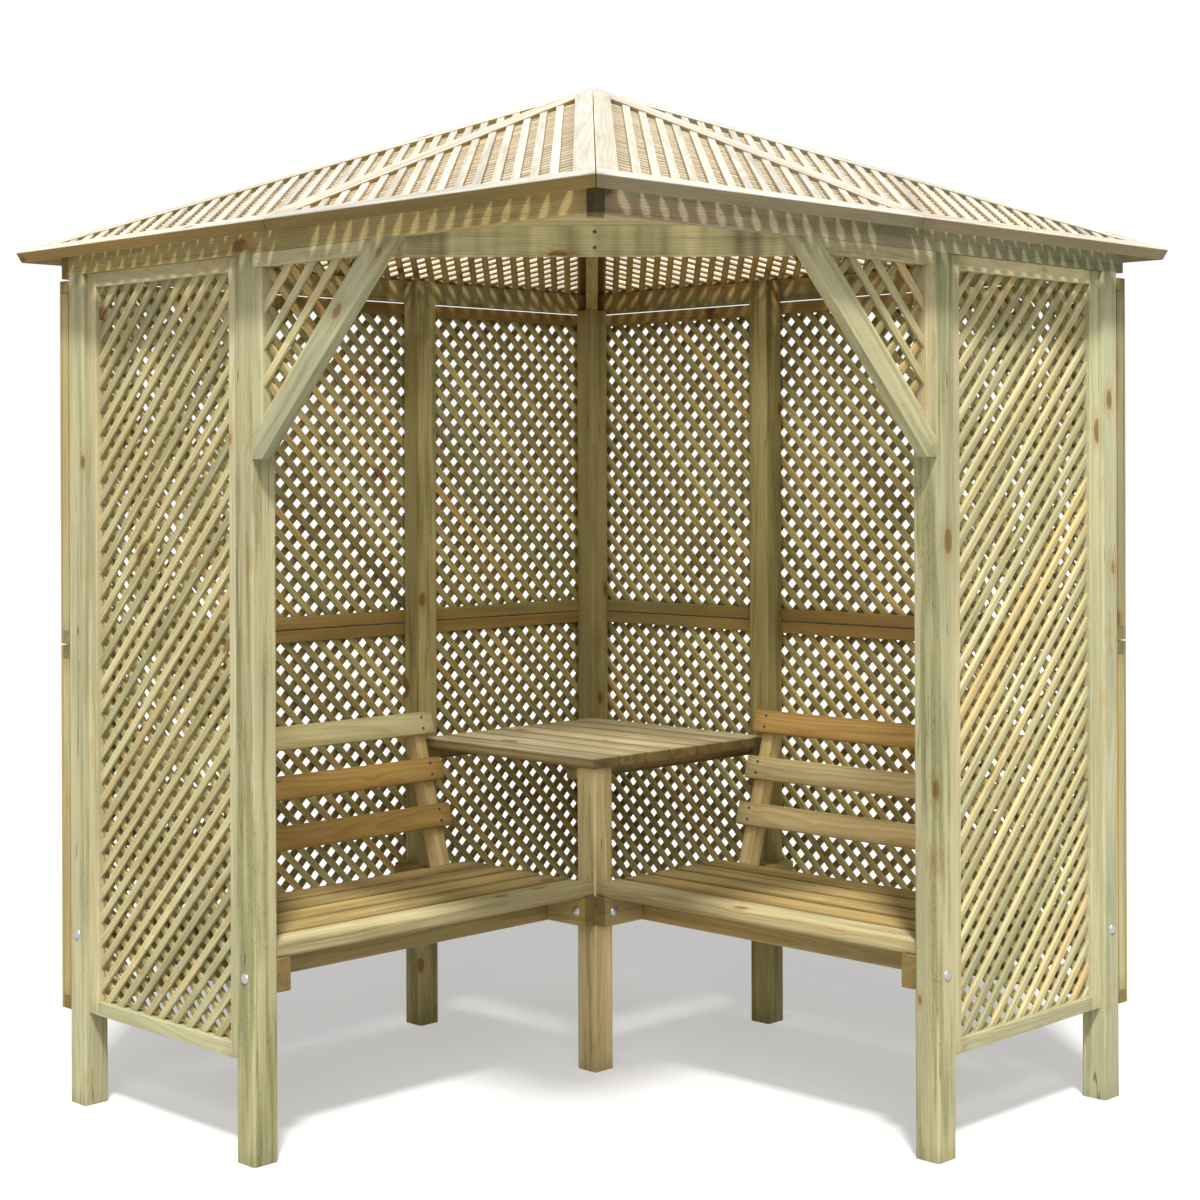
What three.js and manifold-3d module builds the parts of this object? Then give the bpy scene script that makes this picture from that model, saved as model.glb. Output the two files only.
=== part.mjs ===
// A corner arbour seat of pressure-treated softwood. Two trellis walls meet in the rear corner, where a
// square table stands on one leg. A slatted bench with a leaning backrest runs from the table along each
// wall, a trellis panel closes each outer side, and a four-sided trellis roof covers it all. The front
// corner is the way in. Lengths are in millimetres and +Z is up.
//
// Most pieces come in pairs, one on each wall. They are drawn in a bay frame: x runs along the wall from
// the rear corner, y runs from the wall's line into the arbour and z runs up. The left bay is the frame
// turned, and the right bay is the frame mirrored.

import * as THREE from 'three';
import { mergeVertices } from 'three/addons/utils/BufferGeometryUtils.js';
import Module from 'manifold-3d';

const wasm = await Module();
wasm.setup();

// Layout
const wallLength = 1830;
const bayDepth = 753;
const fitGap = 0.3;
const cutOverrun = 20;

// Posts
const postWidth = 66;
const postEase = 6;
const postHeight = 2034;
const midPostExtraHeight = 48;

// Roof
const roofOverhang = 91.5;
const eaveAbovePosts = 56;
const roofRise = 403;
const roofPanelThickness = 28;
const roofRailWidth = 45;
const roofSlatRecess = 3;
const roofPanelGap = 1.5;

// Beams under the roof
const beamThickness = 28;
const wallBeamBelowPostTops = 8;
const rafterWidth = 34;
const rafterDepth = 80;

// Board across the way in, and the plate on it
const headerSetback = 436;
const headerBelowPostTops = 40;
const headerHeight = 62;
const soffitThickness = 18;

// Trellis
const slatWidth = 18;
const slatThickness = 8;
const slatPitch = 40;
const slatLayerGap = 0.3;
const slatEmbed = 3;
const panelBottom = 226;
const wallPanelTopGap = 5;
const wallPanelStackGap = 3;
const wallPanelThickness = 38;
const wallStileWidth = 38;
const wallRailHeight = 32;
const sidePanelThickness = 36;
const sidePanelSetback = 12;
const sideStileWidth = 38;
const sideRailHeight = 34;

// Corner brackets between the front posts and the front beams
const braceReach = 491;
const braceFoot = 33;
const braceWidth = 54;
const bracketPitch = 59;
const bracketStileWidth = 37;
const bracketRailHeight = 32;

// Benches
const seatHeight = 487;
const seatBoardThickness = 33;
const seatBoardGap = 10;
const seatBoardCount = 5;
const seatFrontSetback = 5;
const seatBoardEase = 6;
const bearerThickness = 36;
const bearerHeight = 75;
const bearerEase = 3;
const seatRailSetback = 137;

// Backrests
const backLean = THREE.MathUtils.degToRad(16.8);
const backFromWall = 252.6;
const seatBehindGap = 10.4;
const backBoardHeight = 62;
const backBoardThickness = 20;
const backBoardPitch = 128;
const backBoardCount = 3;
const backLowestBoard = 131;
const backBoardOverhang = 19;
const backBoardEase = 4;
const backSupportWidth = 38;
const backSupportDepth = 45;
const backSupportDrop = 90;
const backSupportInset = 6;

// Table
const tableHeight = 807;
const tableBoardThickness = 26;
const tableOverhang = 6;
const tableFromWall = 80;
const tableBoardCount = 7;
const tableBoardGap = 4;
const tableBearerWidth = 38;
const tableBearerHeight = 34;
const tableBoardEase = 2.5;

// Coach bolts through the outer posts into the bearers
const boltDiameter = 10;
const boltHeadDiameter = 25;
const boltHeadHeight = 6;
const boltNutDiameter = 17;
const boltNutHeight = 8;
const boltWasherDiameter = 24;
const boltWasherThickness = 2;

// Counts of facets
const easeSteps = 1;
const postEaseSteps = 2;
const boltSides = 12;
const domeSteps = 3;
const nutSides = 6;

// Sizes that follow from the ones above
const midPostHeight = postHeight + midPostExtraHeight;
const wallBeamBottom = postHeight - wallBeamBelowPostTops;
const wallPanelHeight = (wallBeamBottom - wallPanelTopGap - wallPanelStackGap - panelBottom) / 2;
const headerBottom = postHeight - headerBelowPostTops;
const eaveHeight = postHeight + eaveAbovePosts;
const apexHeight = eaveHeight + roofRise;
const roofHalf = wallLength / 2 + roofOverhang;
const roofSlope = Math.atan2(roofRise, roofHalf);
const roofSlopeLength = Math.hypot(roofHalf, roofRise);
const halfWall = wallLength / 2;
const frontPostNear = bayDepth - postWidth;
const cornerPostNear = wallLength - postWidth;
const innerBearerFar = bayDepth + bearerThickness;
const outerBearerNear = cornerPostNear - bearerThickness;
const seatDepth = bayDepth - seatFrontSetback - seatBehindGap - backFromWall;
const seatBoardWidth = (seatDepth - (seatBoardCount - 1) * seatBoardGap) / seatBoardCount;
const bearerTop = seatHeight - seatBoardThickness;
const bearerBottom = bearerTop - bearerHeight;
const beamInner = wallLength - beamThickness;

/** Height of the roof panels' underside at a distance from the roof's centre, square to an eave. */
function roofUnderside(distance) {
  const top = eaveHeight + (roofHalf - distance) * Math.tan(roofSlope);
  return top - roofPanelThickness / Math.cos(roofSlope);
}

// Shapes

/** A closed geometry as a solid that can be joined and cut. */
function solidOf(geometry) {
  const bare = geometry.clone();
  bare.deleteAttribute('normal');
  bare.deleteAttribute('uv');
  const merged = mergeVertices(bare);
  const vertProperties = Float32Array.from(merged.attributes.position.array);
  const triVerts = Uint32Array.from(merged.index.array);
  return new wasm.Manifold(new wasm.Mesh({ numProp: 3, vertProperties, triVerts }));
}

function geometryOf(solid) {
  const mesh = solid.getMesh();
  const geometry = new THREE.BufferGeometry();
  geometry.setAttribute('position', new THREE.BufferAttribute(mesh.vertProperties, 3));
  geometry.setIndex(new THREE.BufferAttribute(mesh.triVerts, 1));
  return geometry;
}

function joined(geometries) {
  const [first, ...others] = geometries.map(solidOf);
  return geometryOf(others.reduce((whole, next) => whole.add(next), first));
}

function cutBy(geometry, cutters) {
  return geometryOf(cutters.reduce((rest, cutter) => rest.subtract(solidOf(cutter)), solidOf(geometry)));
}

/** A moved copy, with its faces turned over where the move is a mirroring one. */
function transformed(geometry, matrix) {
  const moved = geometry.clone().applyMatrix4(matrix);
  if (matrix.determinant() < 0) {
    const count = moved.attributes.position.count;
    const order = moved.index ? Array.from(moved.index.array) : Array.from({ length: count }, (_, i) => i);
    for (let corner = 0; corner < order.length; corner += 3) {
      [order[corner + 1], order[corner + 2]] = [order[corner + 2], order[corner + 1]];
    }
    moved.setIndex(order);
  }
  return moved;
}

function axesMatrix(xAxis, yAxis, zAxis) {
  return new THREE.Matrix4().makeBasis(xAxis, yAxis, zAxis);
}

const xWay = new THREE.Vector3(1, 0, 0);
const yWay = new THREE.Vector3(0, 1, 0);
const zWay = new THREE.Vector3(0, 0, 1);

function roundedRectangle(width, height, radius) {
  const x = width / 2 - radius;
  const y = height / 2 - radius;
  const quarter = Math.PI / 2;
  const shape = new THREE.Shape();
  shape.absarc(x, y, radius, 0, quarter);
  shape.absarc(-x, y, radius, quarter, 2 * quarter);
  shape.absarc(-x, -y, radius, 2 * quarter, 3 * quarter);
  shape.absarc(x, -y, radius, 3 * quarter, 4 * quarter);
  shape.closePath();
  return shape;
}

/** A straight length of timber that fills the extents, with its four long edges eased. */
function bar(axis, extents, ease, steps = easeSteps) {
  const [across, upward] = { x: ['y', 'z'], y: ['z', 'x'], z: ['x', 'y'] }[axis];
  const ways = { x: xWay, y: yWay, z: zWay };
  const size = (name) => extents[name][1] - extents[name][0];
  const middle = (name) => (extents[name][0] + extents[name][1]) / 2;
  const section = roundedRectangle(size(across), size(upward), ease);
  const length = size(axis);
  const drawn = { depth: length, bevelEnabled: false, curveSegments: steps };
  const timber = new THREE.ExtrudeGeometry(section, drawn);
  timber.translate(0, 0, -length / 2);
  timber.applyMatrix4(axesMatrix(ways[across], ways[upward], ways[axis]));
  return timber.translate(middle('x'), middle('y'), middle('z'));
}

/** A flat outline of [x, y] points drawn out upward from z by a height. */
function slab(points, z, height, hole) {
  const shape = new THREE.Shape(points.map(([x, y]) => new THREE.Vector2(x, y)));
  if (hole) {
    shape.holes.push(new THREE.Path(hole.map(([x, y]) => new THREE.Vector2(x, y))));
  }
  return new THREE.ExtrudeGeometry(shape, { depth: height, bevelEnabled: false }).translate(0, 0, z);
}

// Lattice

/** The part of a convex outline that lies inside another convex outline; both run anticlockwise. */
function clippedOutline(points, outline) {
  let kept = points;
  outline.forEach(([ax, ay], index) => {
    const [bx, by] = outline[(index + 1) % outline.length];
    const side = ([x, y]) => (bx - ax) * (y - ay) - (by - ay) * (x - ax);
    const next = [];
    kept.forEach((here, place) => {
      const there = kept[(place + 1) % kept.length];
      const hereSide = side(here);
      const thereSide = side(there);
      if (hereSide >= 0) {
        next.push(here);
      }
      if (hereSide * thereSide < 0) {
        const share = hereSide / (hereSide - thereSide);
        next.push([here[0] + (there[0] - here[0]) * share, here[1] + (there[1] - here[1]) * share]);
      }
    });
    kept = next;
  });
  return kept;
}

function outlineArea(points) {
  return points.reduce((sum, [x, y], index) => {
    const [nextX, nextY] = points[(index + 1) % points.length];
    return sum + (x * nextY - nextX * y) / 2;
  }, 0);
}

/** A convex anticlockwise outline with each edge moved outward. */
function grownOutline(points, by) {
  const lines = points.map(([x, y], index) => {
    const [nextX, nextY] = points[(index + 1) % points.length];
    const length = Math.hypot(nextX - x, nextY - y);
    const normal = [(nextY - y) / length, (x - nextX) / length];
    return { normal, reach: normal[0] * x + normal[1] * y + by };
  });
  return lines.map((line, index) => {
    const last = lines[(index + lines.length - 1) % lines.length];
    const cross = last.normal[0] * line.normal[1] - last.normal[1] * line.normal[0];
    const x = (last.reach * line.normal[1] - line.reach * last.normal[1]) / cross;
    const y = (last.normal[0] * line.reach - line.normal[0] * last.reach) / cross;
    return [x, y];
  });
}

/** Parallel slats across a convex outline, each cut off where it meets the outline. */
function slats(outline, direction, pitch, z) {
  const length = Math.hypot(...direction);
  const along = direction.map((part) => part / length);
  const across = [-along[1], along[0]];
  const measure = (way) => outline.map(([x, y]) => x * way[0] + y * way[1]);
  const [start, end] = [Math.min(...measure(along)), Math.max(...measure(along))];
  const [near, far] = [Math.min(...measure(across)), Math.max(...measure(across))];
  const middle = (near + far) / 2;
  const count = Math.floor((far - near) / 2 / pitch);
  const at = (down, over) => [along[0] * down + across[0] * over, along[1] * down + across[1] * over];
  const made = [];
  for (let place = -count; place <= count; place += 1) {
    const low = middle + place * pitch - slatWidth / 2;
    const high = low + slatWidth;
    const strip = [at(start, low), at(end, low), at(end, high), at(start, high)];
    const kept = clippedOutline(strip, outline);
    if (kept.length > 2 && outlineArea(kept) > slatWidth * slatWidth) {
      made.push(slab(kept, z, slatThickness));
    }
  }
  return made;
}

/** A frame filled with two crossing layers of slats, let into it along the reach outline. */
function trellis(frame, reach, pitch, layers) {
  const slatSets = layers.map(({ direction, z }) => slats(reach, direction, pitch, z));
  return joined([frame, ...slatSets.flat()]);
}

/** A rectangular trellis panel standing in its own x and y, with z through its thickness. */
function framedTrellis(width, height, thickness, stile, rail, lowDirection) {
  const outer = [[0, 0], [width, 0], [width, height], [0, height]];
  const [right, top] = [width - stile, height - rail];
  const opening = [[stile, rail], [right, rail], [right, top], [stile, top]];
  const frame = slab(outer, 0, thickness, opening);
  const lowZ = (thickness - slatLayerGap) / 2 - slatThickness;
  const highZ = (thickness + slatLayerGap) / 2;
  const highDirection = [lowDirection[0], -lowDirection[1]];
  return trellis(frame, grownOutline(opening, slatEmbed), slatPitch, [
    { direction: lowDirection, z: lowZ },
    { direction: highDirection, z: highZ },
  ]);
}

// The two bays

const bayMatrix = {
  left: axesMatrix(new THREE.Vector3(0, -1, 0), xWay, zWay),
  right: axesMatrix(xWay, new THREE.Vector3(0, -1, 0), zWay),
};

const arbour = new THREE.Group();
arbour.position.set(-halfWall, halfWall, 0);

const timberColour = {
  post: '#c9bf93',
  beam: '#a8966a',
  trellis: '#8f7a4c',
  sideTrellis: '#bdb081',
  roof: '#d9cda4',
  seat: '#a98c52',
  backrest: '#b39a5c',
  table: '#b7a87c',
};

function addTimber(name, colour, geometry) {
  const material = new THREE.MeshStandardMaterial({ color: colour, roughness: 0.85, metalness: 0 });
  const mesh = new THREE.Mesh(geometry, material);
  mesh.name = name;
  arbour.add(mesh);
  return mesh;
}

function addInBay(side, name, colour, geometry) {
  return addTimber(`${side}_${name}`, colour, transformed(geometry, bayMatrix[side]));
}

// Posts

function postBar(x, y, height) {
  const extents = { x: [x, x + postWidth], y: [y, y + postWidth], z: [0, height] };
  return bar('z', extents, postEase, postEaseSteps);
}

const boltHeight = bearerTop - bearerHeight / 2;
const boltPlaces = { corner: postWidth / 2, front: frontPostNear + postWidth / 2 };

/** A round rod along x at a bay's y, centred at the bolts' height. */
function rodAlongX(diameter, from, to, y) {
  const rod = new THREE.CylinderGeometry(diameter / 2, diameter / 2, to - from, boltSides);
  rod.rotateZ(Math.PI / 2);
  return rod.translate((from + to) / 2, y, boltHeight);
}

function boltHole(y) {
  return rodAlongX(boltDiameter + 2 * fitGap, outerBearerNear - cutOverrun, wallLength + cutOverrun, y);
}

function addPosts() {
  const rearPost = transformed(postBar(0, 0, postHeight), bayMatrix.left);
  const legBar = postBar(frontPostNear, frontPostNear, tableHeight - tableBoardThickness);
  addTimber('rear_corner_post', timberColour.post, rearPost);
  addTimber('table_leg', timberColour.post, transformed(legBar, bayMatrix.left));
  for (const side of ['left', 'right']) {
    const cornerBar = postBar(cornerPostNear, 0, postHeight);
    const frontBar = postBar(cornerPostNear, frontPostNear, postHeight);
    addInBay(side, 'mid_post', timberColour.post, postBar(frontPostNear, 0, midPostHeight));
    addInBay(side, 'corner_post', timberColour.post, cutBy(cornerBar, [boltHole(boltPlaces.corner)]));
    addInBay(side, 'front_post', timberColour.post, cutBy(frontBar, [boltHole(boltPlaces.front)]));
  }
}

// Trellis walls and sides

/** Both stacked panels of a wall, standing on the outer faces of its posts. */
function addWallTrellis(side, innerDirection) {
  const panel = framedTrellis(
    wallLength, wallPanelHeight, wallPanelThickness, wallStileWidth, wallRailHeight, innerDirection,
  );
  const upright = transformed(panel, axesMatrix(xWay, zWay, new THREE.Vector3(0, -1, 0)));
  const upperBottom = panelBottom + wallPanelHeight + wallPanelStackGap;
  addInBay(side, 'wall_lower_trellis', timberColour.trellis, upright.clone().translate(0, 0, panelBottom));
  addInBay(side, 'wall_upper_trellis', timberColour.trellis, upright.clone().translate(0, 0, upperBottom));
}

/** The tall panel between the corner post and the front post. */
function addSideTrellis(side, innerDirection) {
  const width = frontPostNear - postWidth - 2 * fitGap;
  const height = postHeight - fitGap - panelBottom;
  const panel = framedTrellis(
    width, height, sidePanelThickness, sideStileWidth, sideRailHeight, innerDirection,
  );
  const upright = transformed(panel, axesMatrix(yWay, zWay, xWay));
  const innerFace = wallLength - sidePanelSetback - sidePanelThickness;
  upright.translate(innerFace, postWidth + fitGap, panelBottom);
  addInBay(side, 'side_trellis', timberColour.sideTrellis, upright);
}

// Brackets between the front posts and the front beams

/** The slanting brace: cut plumb against the post and level under the beam. */
function addBrace(side) {
  const post = bayDepth + fitGap;
  const top = postHeight - fitGap;
  const reach = braceReach - fitGap;
  const acrossWidth = braceWidth * Math.SQRT2;
  const footHeight = top - (reach - braceFoot);
  const outline = [
    [post, footHeight],
    [post + braceFoot, footHeight],
    [post + reach, top],
    [post + reach - acrossWidth, top],
    [post, top - (reach - acrossWidth)],
  ];
  const brace = transformed(slab(outline, 0, beamThickness), axesMatrix(yWay, zWay, xWay));
  addInBay(side, 'bracket_brace', timberColour.post, brace.translate(beamInner, 0, 0));
}

/** The trellis above the brace: a rail under the beam, a stile on the post and slats between. */
function addBracketTrellis(side) {
  const post = bayDepth + fitGap;
  const top = postHeight - fitGap;
  const slantSum = braceReach - braceWidth * Math.SQRT2 - 2 * fitGap;
  const slantAt = (height) => post + slantSum - (top - height);
  const slantHeight = (out) => top - (slantSum - (out - post));
  const stileEdge = post + bracketStileWidth;
  const railEdge = top - bracketRailHeight;
  const frame = slab([
    [post, slantHeight(post)],
    [stileEdge, slantHeight(stileEdge)],
    [stileEdge, railEdge],
    [slantAt(railEdge), railEdge],
    [slantAt(top), top],
    [post, top],
  ], 0, beamThickness);
  const inStile = stileEdge - slatEmbed;
  const inRail = railEdge + slatEmbed;
  const reach = [[inStile, slantHeight(inStile)], [slantAt(inRail), inRail], [inStile, inRail]];
  const outerZ = (beamThickness + slatLayerGap) / 2;
  const innerZ = (beamThickness - slatLayerGap) / 2 - slatThickness;
  const filled = trellis(frame, reach, bracketPitch, [
    { direction: [1, 1], z: outerZ },
    { direction: [1, -1], z: innerZ },
  ]);
  const upright = transformed(filled, axesMatrix(yWay, zWay, xWay)).translate(beamInner, 0, 0);
  addInBay(side, 'bracket_trellis', timberColour.sideTrellis, upright);
}

// Beams under the eaves

const rafterClear = (rafterWidth / 2 + fitGap) * Math.SQRT2;

/** A front beam, flush with the posts' outer faces, cut slanting against the front rafter. */
function addFrontBeam(side, start) {
  const outline = [
    [beamInner, start],
    [wallLength, start],
    [wallLength, wallLength - rafterClear],
    [beamInner, beamInner - rafterClear],
  ];
  const height = roofUnderside(halfWall) - fitGap - postHeight;
  const beam = slab(outline, postHeight, height);
  addInBay(side, 'front_beam', timberColour.beam, start < 0 ? cutBy(beam, [aboveLap()]) : beam);
}

/** What the roof takes off a front beam where it laps past the wall: y runs along the beam. */
function aboveLap() {
  const far = -beamThickness - cutOverrun;
  const underAt = (out) => roofUnderside(halfWall - out) - fitGap;
  const above = underAt(0) + cutOverrun;
  const profile = [[far, underAt(far)], [0, underAt(0)], [0, above], [far, above]];
  const cutter = slab(profile, -cutOverrun, beamThickness + 2 * cutOverrun);
  return transformed(cutter, axesMatrix(yWay, zWay, xWay)).translate(beamInner, 0, 0);
}

/** A wall beam, outside the posts and above the upper wall panel. */
function addWallBeam(side, start, end) {
  const top = roofUnderside(halfWall + beamThickness) - fitGap;
  const outline = [[start, -beamThickness], [end, -beamThickness], [end, 0], [start, 0]];
  addInBay(side, 'wall_beam', timberColour.beam, slab(outline, wallBeamBottom, top - wallBeamBottom));
}

/** The beams lap one another round the corners like the arms of a pinwheel. */
function addBeams() {
  addFrontBeam('left', 0);
  addFrontBeam('right', -beamThickness);
  addWallBeam('left', -beamThickness, wallLength);
  addWallBeam('right', 0, beamInner);
}

/** A hip rafter in the upright plane of its hip: x runs out from the roof's centre, y runs up. */
function rafterSide(start, end) {
  const topAt = (out) => roofUnderside((out + rafterWidth / 2) / Math.SQRT2) - fitGap;
  const seat = postHeight + fitGap;
  const fall = (topAt(start) - topAt(end)) / (end - start);
  const seatStart = start + (topAt(start) - rafterDepth - seat) / fall;
  return [
    [start, topAt(start)],
    [start, topAt(start) - rafterDepth],
    [seatStart, seat],
    [end, seat],
    [end, topAt(end)],
  ];
}

function addRafter(corner, turn, start, cornerReach) {
  const end = cornerReach * Math.SQRT2 - rafterWidth / 2;
  const lying = slab(rafterSide(start, end), -rafterWidth / 2, rafterWidth);
  const upright = transformed(lying, axesMatrix(xWay, zWay, new THREE.Vector3(0, -1, 0)));
  upright.rotateZ(turn).translate(halfWall, -halfWall, 0);
  addTimber(`${corner}_hip_rafter`, timberColour.beam, upright);
}

/** The front and rear rafters meet at the peak, and the left and right ones butt against them. */
function addRafters() {
  const eighth = Math.PI / 4;
  const atPeak = fitGap / 2;
  const besidePeak = rafterWidth / 2 + fitGap;
  const insideBeams = halfWall - beamThickness - fitGap;
  addRafter('front', -eighth, atPeak, halfWall);
  addRafter('rear', 3 * eighth, atPeak, halfWall - fitGap);
  addRafter('right', eighth, besidePeak, insideBeams);
  addRafter('left', -3 * eighth, besidePeak, insideBeams);
}

/** The board across the way in, from beam to beam behind the front corner, with a plate on top of it. */
function addHeader() {
  const beamFace = beamInner - fitGap;
  const frontSum = 2 * wallLength - headerSetback * Math.SQRT2;
  const backSum = frontSum - beamThickness * Math.SQRT2;
  const header = [
    [beamFace, frontSum - beamFace],
    [frontSum - beamFace, beamFace],
    [backSum - beamFace, beamFace],
    [beamFace, backSum - beamFace],
  ];
  const headerTop = headerBottom + headerHeight;
  addTimber('entrance_header', timberColour.beam,
    transformed(slab(header, headerBottom, headerHeight), bayMatrix.left));

  const slotBack = wallLength - headerSetback / 2;
  const slotSide = rafterClear / 2;
  const plate = [
    [beamFace, backSum - beamFace],
    [beamFace, beamFace - rafterClear],
    [slotBack + slotSide, slotBack - slotSide],
    [slotBack - slotSide, slotBack + slotSide],
    [beamFace - rafterClear, beamFace],
    [backSum - beamFace, beamFace],
  ];
  addTimber('entrance_soffit', timberColour.beam,
    transformed(slab(plate, headerTop + fitGap, soffitThickness), bayMatrix.left));
}

// Roof

/** Half of one roof face, from the middle of its eave to a corner, for a face that slopes down along x. */
function roofPanel(topSlatsFollowHip) {
  const hipRun = roofHalf / roofSlopeLength;
  const hipLength = Math.hypot(1, hipRun);
  const outer = [
    [0, roofPanelGap / 2],
    [roofSlopeLength, roofPanelGap / 2],
    [roofSlopeLength, roofHalf + cutOverrun],
    [0, cutOverrun],
  ];
  const eaveEdge = roofSlopeLength - roofRailWidth;
  const hipEdgeAt = (down) => down * hipRun - roofRailWidth * hipLength;
  const opening = [
    [roofRailWidth * (1 + hipLength) / hipRun, roofRailWidth],
    [eaveEdge, roofRailWidth],
    [eaveEdge, hipEdgeAt(eaveEdge)],
  ];
  const frame = slab(outer, -roofPanelThickness, roofPanelThickness, opening);
  const topZ = -roofSlatRecess - slatThickness;
  const alongHip = [1, hipRun];
  const acrossHip = [1, -hipRun];
  const flat = trellis(frame, grownOutline(opening, slatEmbed), slatPitch, [
    { direction: topSlatsFollowHip ? alongHip : acrossHip, z: topZ },
    { direction: topSlatsFollowHip ? acrossHip : alongHip, z: topZ - slatLayerGap - slatThickness },
  ]);
  const sloped = transformed(flat, new THREE.Matrix4().makeRotationY(roofSlope));
  sloped.translate(0, 0, apexHeight);

  const size = 2 * Math.SQRT2 * roofSlopeLength;
  const beyondHip = new THREE.BoxGeometry(size, size, size);
  beyondHip.translate(0, size / 2 - roofPanelGap / 2, apexHeight);
  beyondHip.rotateZ(Math.PI / 4);
  return cutBy(sloped, [beyondHip]);
}

function addRoof() {
  const faces = [
    { face: 'front_right', turn: 0, corners: ['right', 'front'], slatsTo: 'front' },
    { face: 'rear_right', turn: Math.PI / 2, corners: ['rear', 'right'], slatsTo: 'right' },
    { face: 'rear_left', turn: Math.PI, corners: ['left', 'rear'], slatsTo: 'left' },
    { face: 'front_left', turn: -Math.PI / 2, corners: ['front', 'left'], slatsTo: 'front' },
  ];
  const followsHip = roofPanel(true);
  const crossesHip = roofPanel(false);
  const mirror = new THREE.Matrix4().makeScale(1, -1, 1);
  for (const { face, turn, corners, slatsTo } of faces) {
    corners.forEach((corner, half) => {
      const drawn = corner === slatsTo ? followsHip : crossesHip;
      const handed = half === 0 ? drawn.clone() : transformed(drawn, mirror);
      const placed = handed.rotateZ(turn).translate(halfWall, -halfWall, 0);
      addTimber(`roof_${face}_to_${corner}`, timberColour.roof, placed);
    });
  }
}

// Benches

function addSeat(side) {
  const start = bayDepth + fitGap;
  const end = cornerPostNear - fitGap;
  for (let place = 0; place < seatBoardCount; place += 1) {
    const front = bayDepth - seatFrontSetback - place * (seatBoardWidth + seatBoardGap);
    const extents = { x: [start, end], y: [front - seatBoardWidth, front], z: [bearerTop, seatHeight] };
    addInBay(side, `seat_board_${place + 1}`, timberColour.seat, bar('x', extents, seatBoardEase));
  }
}

function addBearers(side) {
  const upright = [bearerBottom, bearerTop];
  const out = [fitGap, bayDepth];
  const inner = bar('y', { x: [bayDepth, innerBearerFar], y: out, z: upright }, bearerEase);
  const outer = bar('y', { x: [outerBearerNear, cornerPostNear], y: out, z: upright }, bearerEase);
  const drilled = cutBy(outer, [boltHole(boltPlaces.corner), boltHole(boltPlaces.front)]);
  addInBay(side, 'inner_bearer', timberColour.seat, inner);
  addInBay(side, 'outer_bearer', timberColour.seat, drilled);
  const railFront = bayDepth - seatRailSetback;
  const railOut = [railFront - bearerThickness, railFront];
  const railAlong = [innerBearerFar + fitGap, outerBearerNear - fitGap];
  const rail = bar('x', { x: railAlong, y: railOut, z: upright }, bearerEase);
  addInBay(side, 'seat_rail', timberColour.seat, rail);
}

/** Three boards on two leaning supports, drawn upright with y through the boards and z up the lean. */
function addBackrest(side) {
  const supportBack = -backBoardThickness - backSupportDepth;
  const topBoard = backLowestBoard + (backBoardCount - 1) * backBoardPitch;
  const supportTop = topBoard + backBoardHeight / 2 - backSupportInset;
  const supportStarts = [innerBearerFar, outerBearerNear - backSupportWidth];
  const pieces = supportStarts.map((start) => bar('z', {
    x: [start, start + backSupportWidth],
    y: [supportBack, -backBoardThickness],
    z: [-backSupportDrop, supportTop],
  }, backBoardEase));
  const boardAlong = [innerBearerFar - backBoardOverhang, outerBearerNear + backBoardOverhang];
  for (let place = 0; place < backBoardCount; place += 1) {
    const middle = backLowestBoard + place * backBoardPitch;
    const height = [middle - backBoardHeight / 2, middle + backBoardHeight / 2];
    pieces.push(bar('x', { x: boardAlong, y: [-backBoardThickness, 0], z: height }, backBoardEase));
  }
  const leaning = joined(pieces).rotateX(backLean).translate(0, backFromWall, seatHeight);
  addInBay(side, 'backrest', timberColour.backrest, leaning);
}

// Table

/** Boards side by side on two bearers, which run from the leg and the middle post to the other wall. */
function addTable() {
  const far = bayDepth + tableOverhang;
  const size = far - tableFromWall;
  const boardWidth = (size - (tableBoardCount - 1) * tableBoardGap) / tableBoardCount;
  const boardBottom = tableHeight - tableBoardThickness;
  const bearerUp = [boardBottom - tableBearerHeight, boardBottom];
  const bearerStarts = [postWidth + fitGap, frontPostNear - fitGap - tableBearerWidth];
  const pieces = bearerStarts.map((start) => bar('x', {
    x: [fitGap, bayDepth],
    y: [start, start + tableBearerWidth],
    z: bearerUp,
  }, tableBoardEase));
  for (let place = 0; place < tableBoardCount; place += 1) {
    const start = tableFromWall + place * (boardWidth + tableBoardGap);
    pieces.push(bar('y', {
      x: [start, start + boardWidth],
      y: [tableFromWall, far],
      z: [boardBottom, tableHeight],
    }, tableBoardEase));
  }
  addTimber('table_top', timberColour.table, transformed(joined(pieces), bayMatrix.left));
}

// Fasteners

/** A coach bolt along x: domed head on the post, shank through post and bearer, washer and nut inside. */
function coachBolt(y) {
  const head = new THREE.Path();
  head.absellipse(0, 0, boltHeadDiameter / 2, boltHeadHeight, 0, Math.PI / 2);
  const domePoints = head.getPoints(domeSteps);
  const tip = domePoints[domePoints.length - 1].setX(0);
  const nutOuter = outerBearerNear - fitGap;
  const washerInner = nutOuter - boltWasherThickness;
  const nutInner = washerInner - boltNutHeight;
  const profile = [new THREE.Vector2(0, 0), ...domePoints.slice(0, -1), tip];
  const dome = new THREE.LatheGeometry(profile, boltSides);
  dome.rotateZ(-Math.PI / 2).translate(wallLength + fitGap, y, boltHeight);
  const shank = rodAlongX(boltDiameter, nutInner - boltDiameter / 2, wallLength + fitGap, y);
  const washer = rodAlongX(boltWasherDiameter, washerInner, nutOuter, y);
  const nut = new THREE.CylinderGeometry(boltNutDiameter / 2, boltNutDiameter / 2, boltNutHeight, nutSides);
  nut.rotateZ(Math.PI / 2).translate((nutInner + washerInner) / 2, y, boltHeight);
  return joined([dome, shank, washer, nut]);
}

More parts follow.
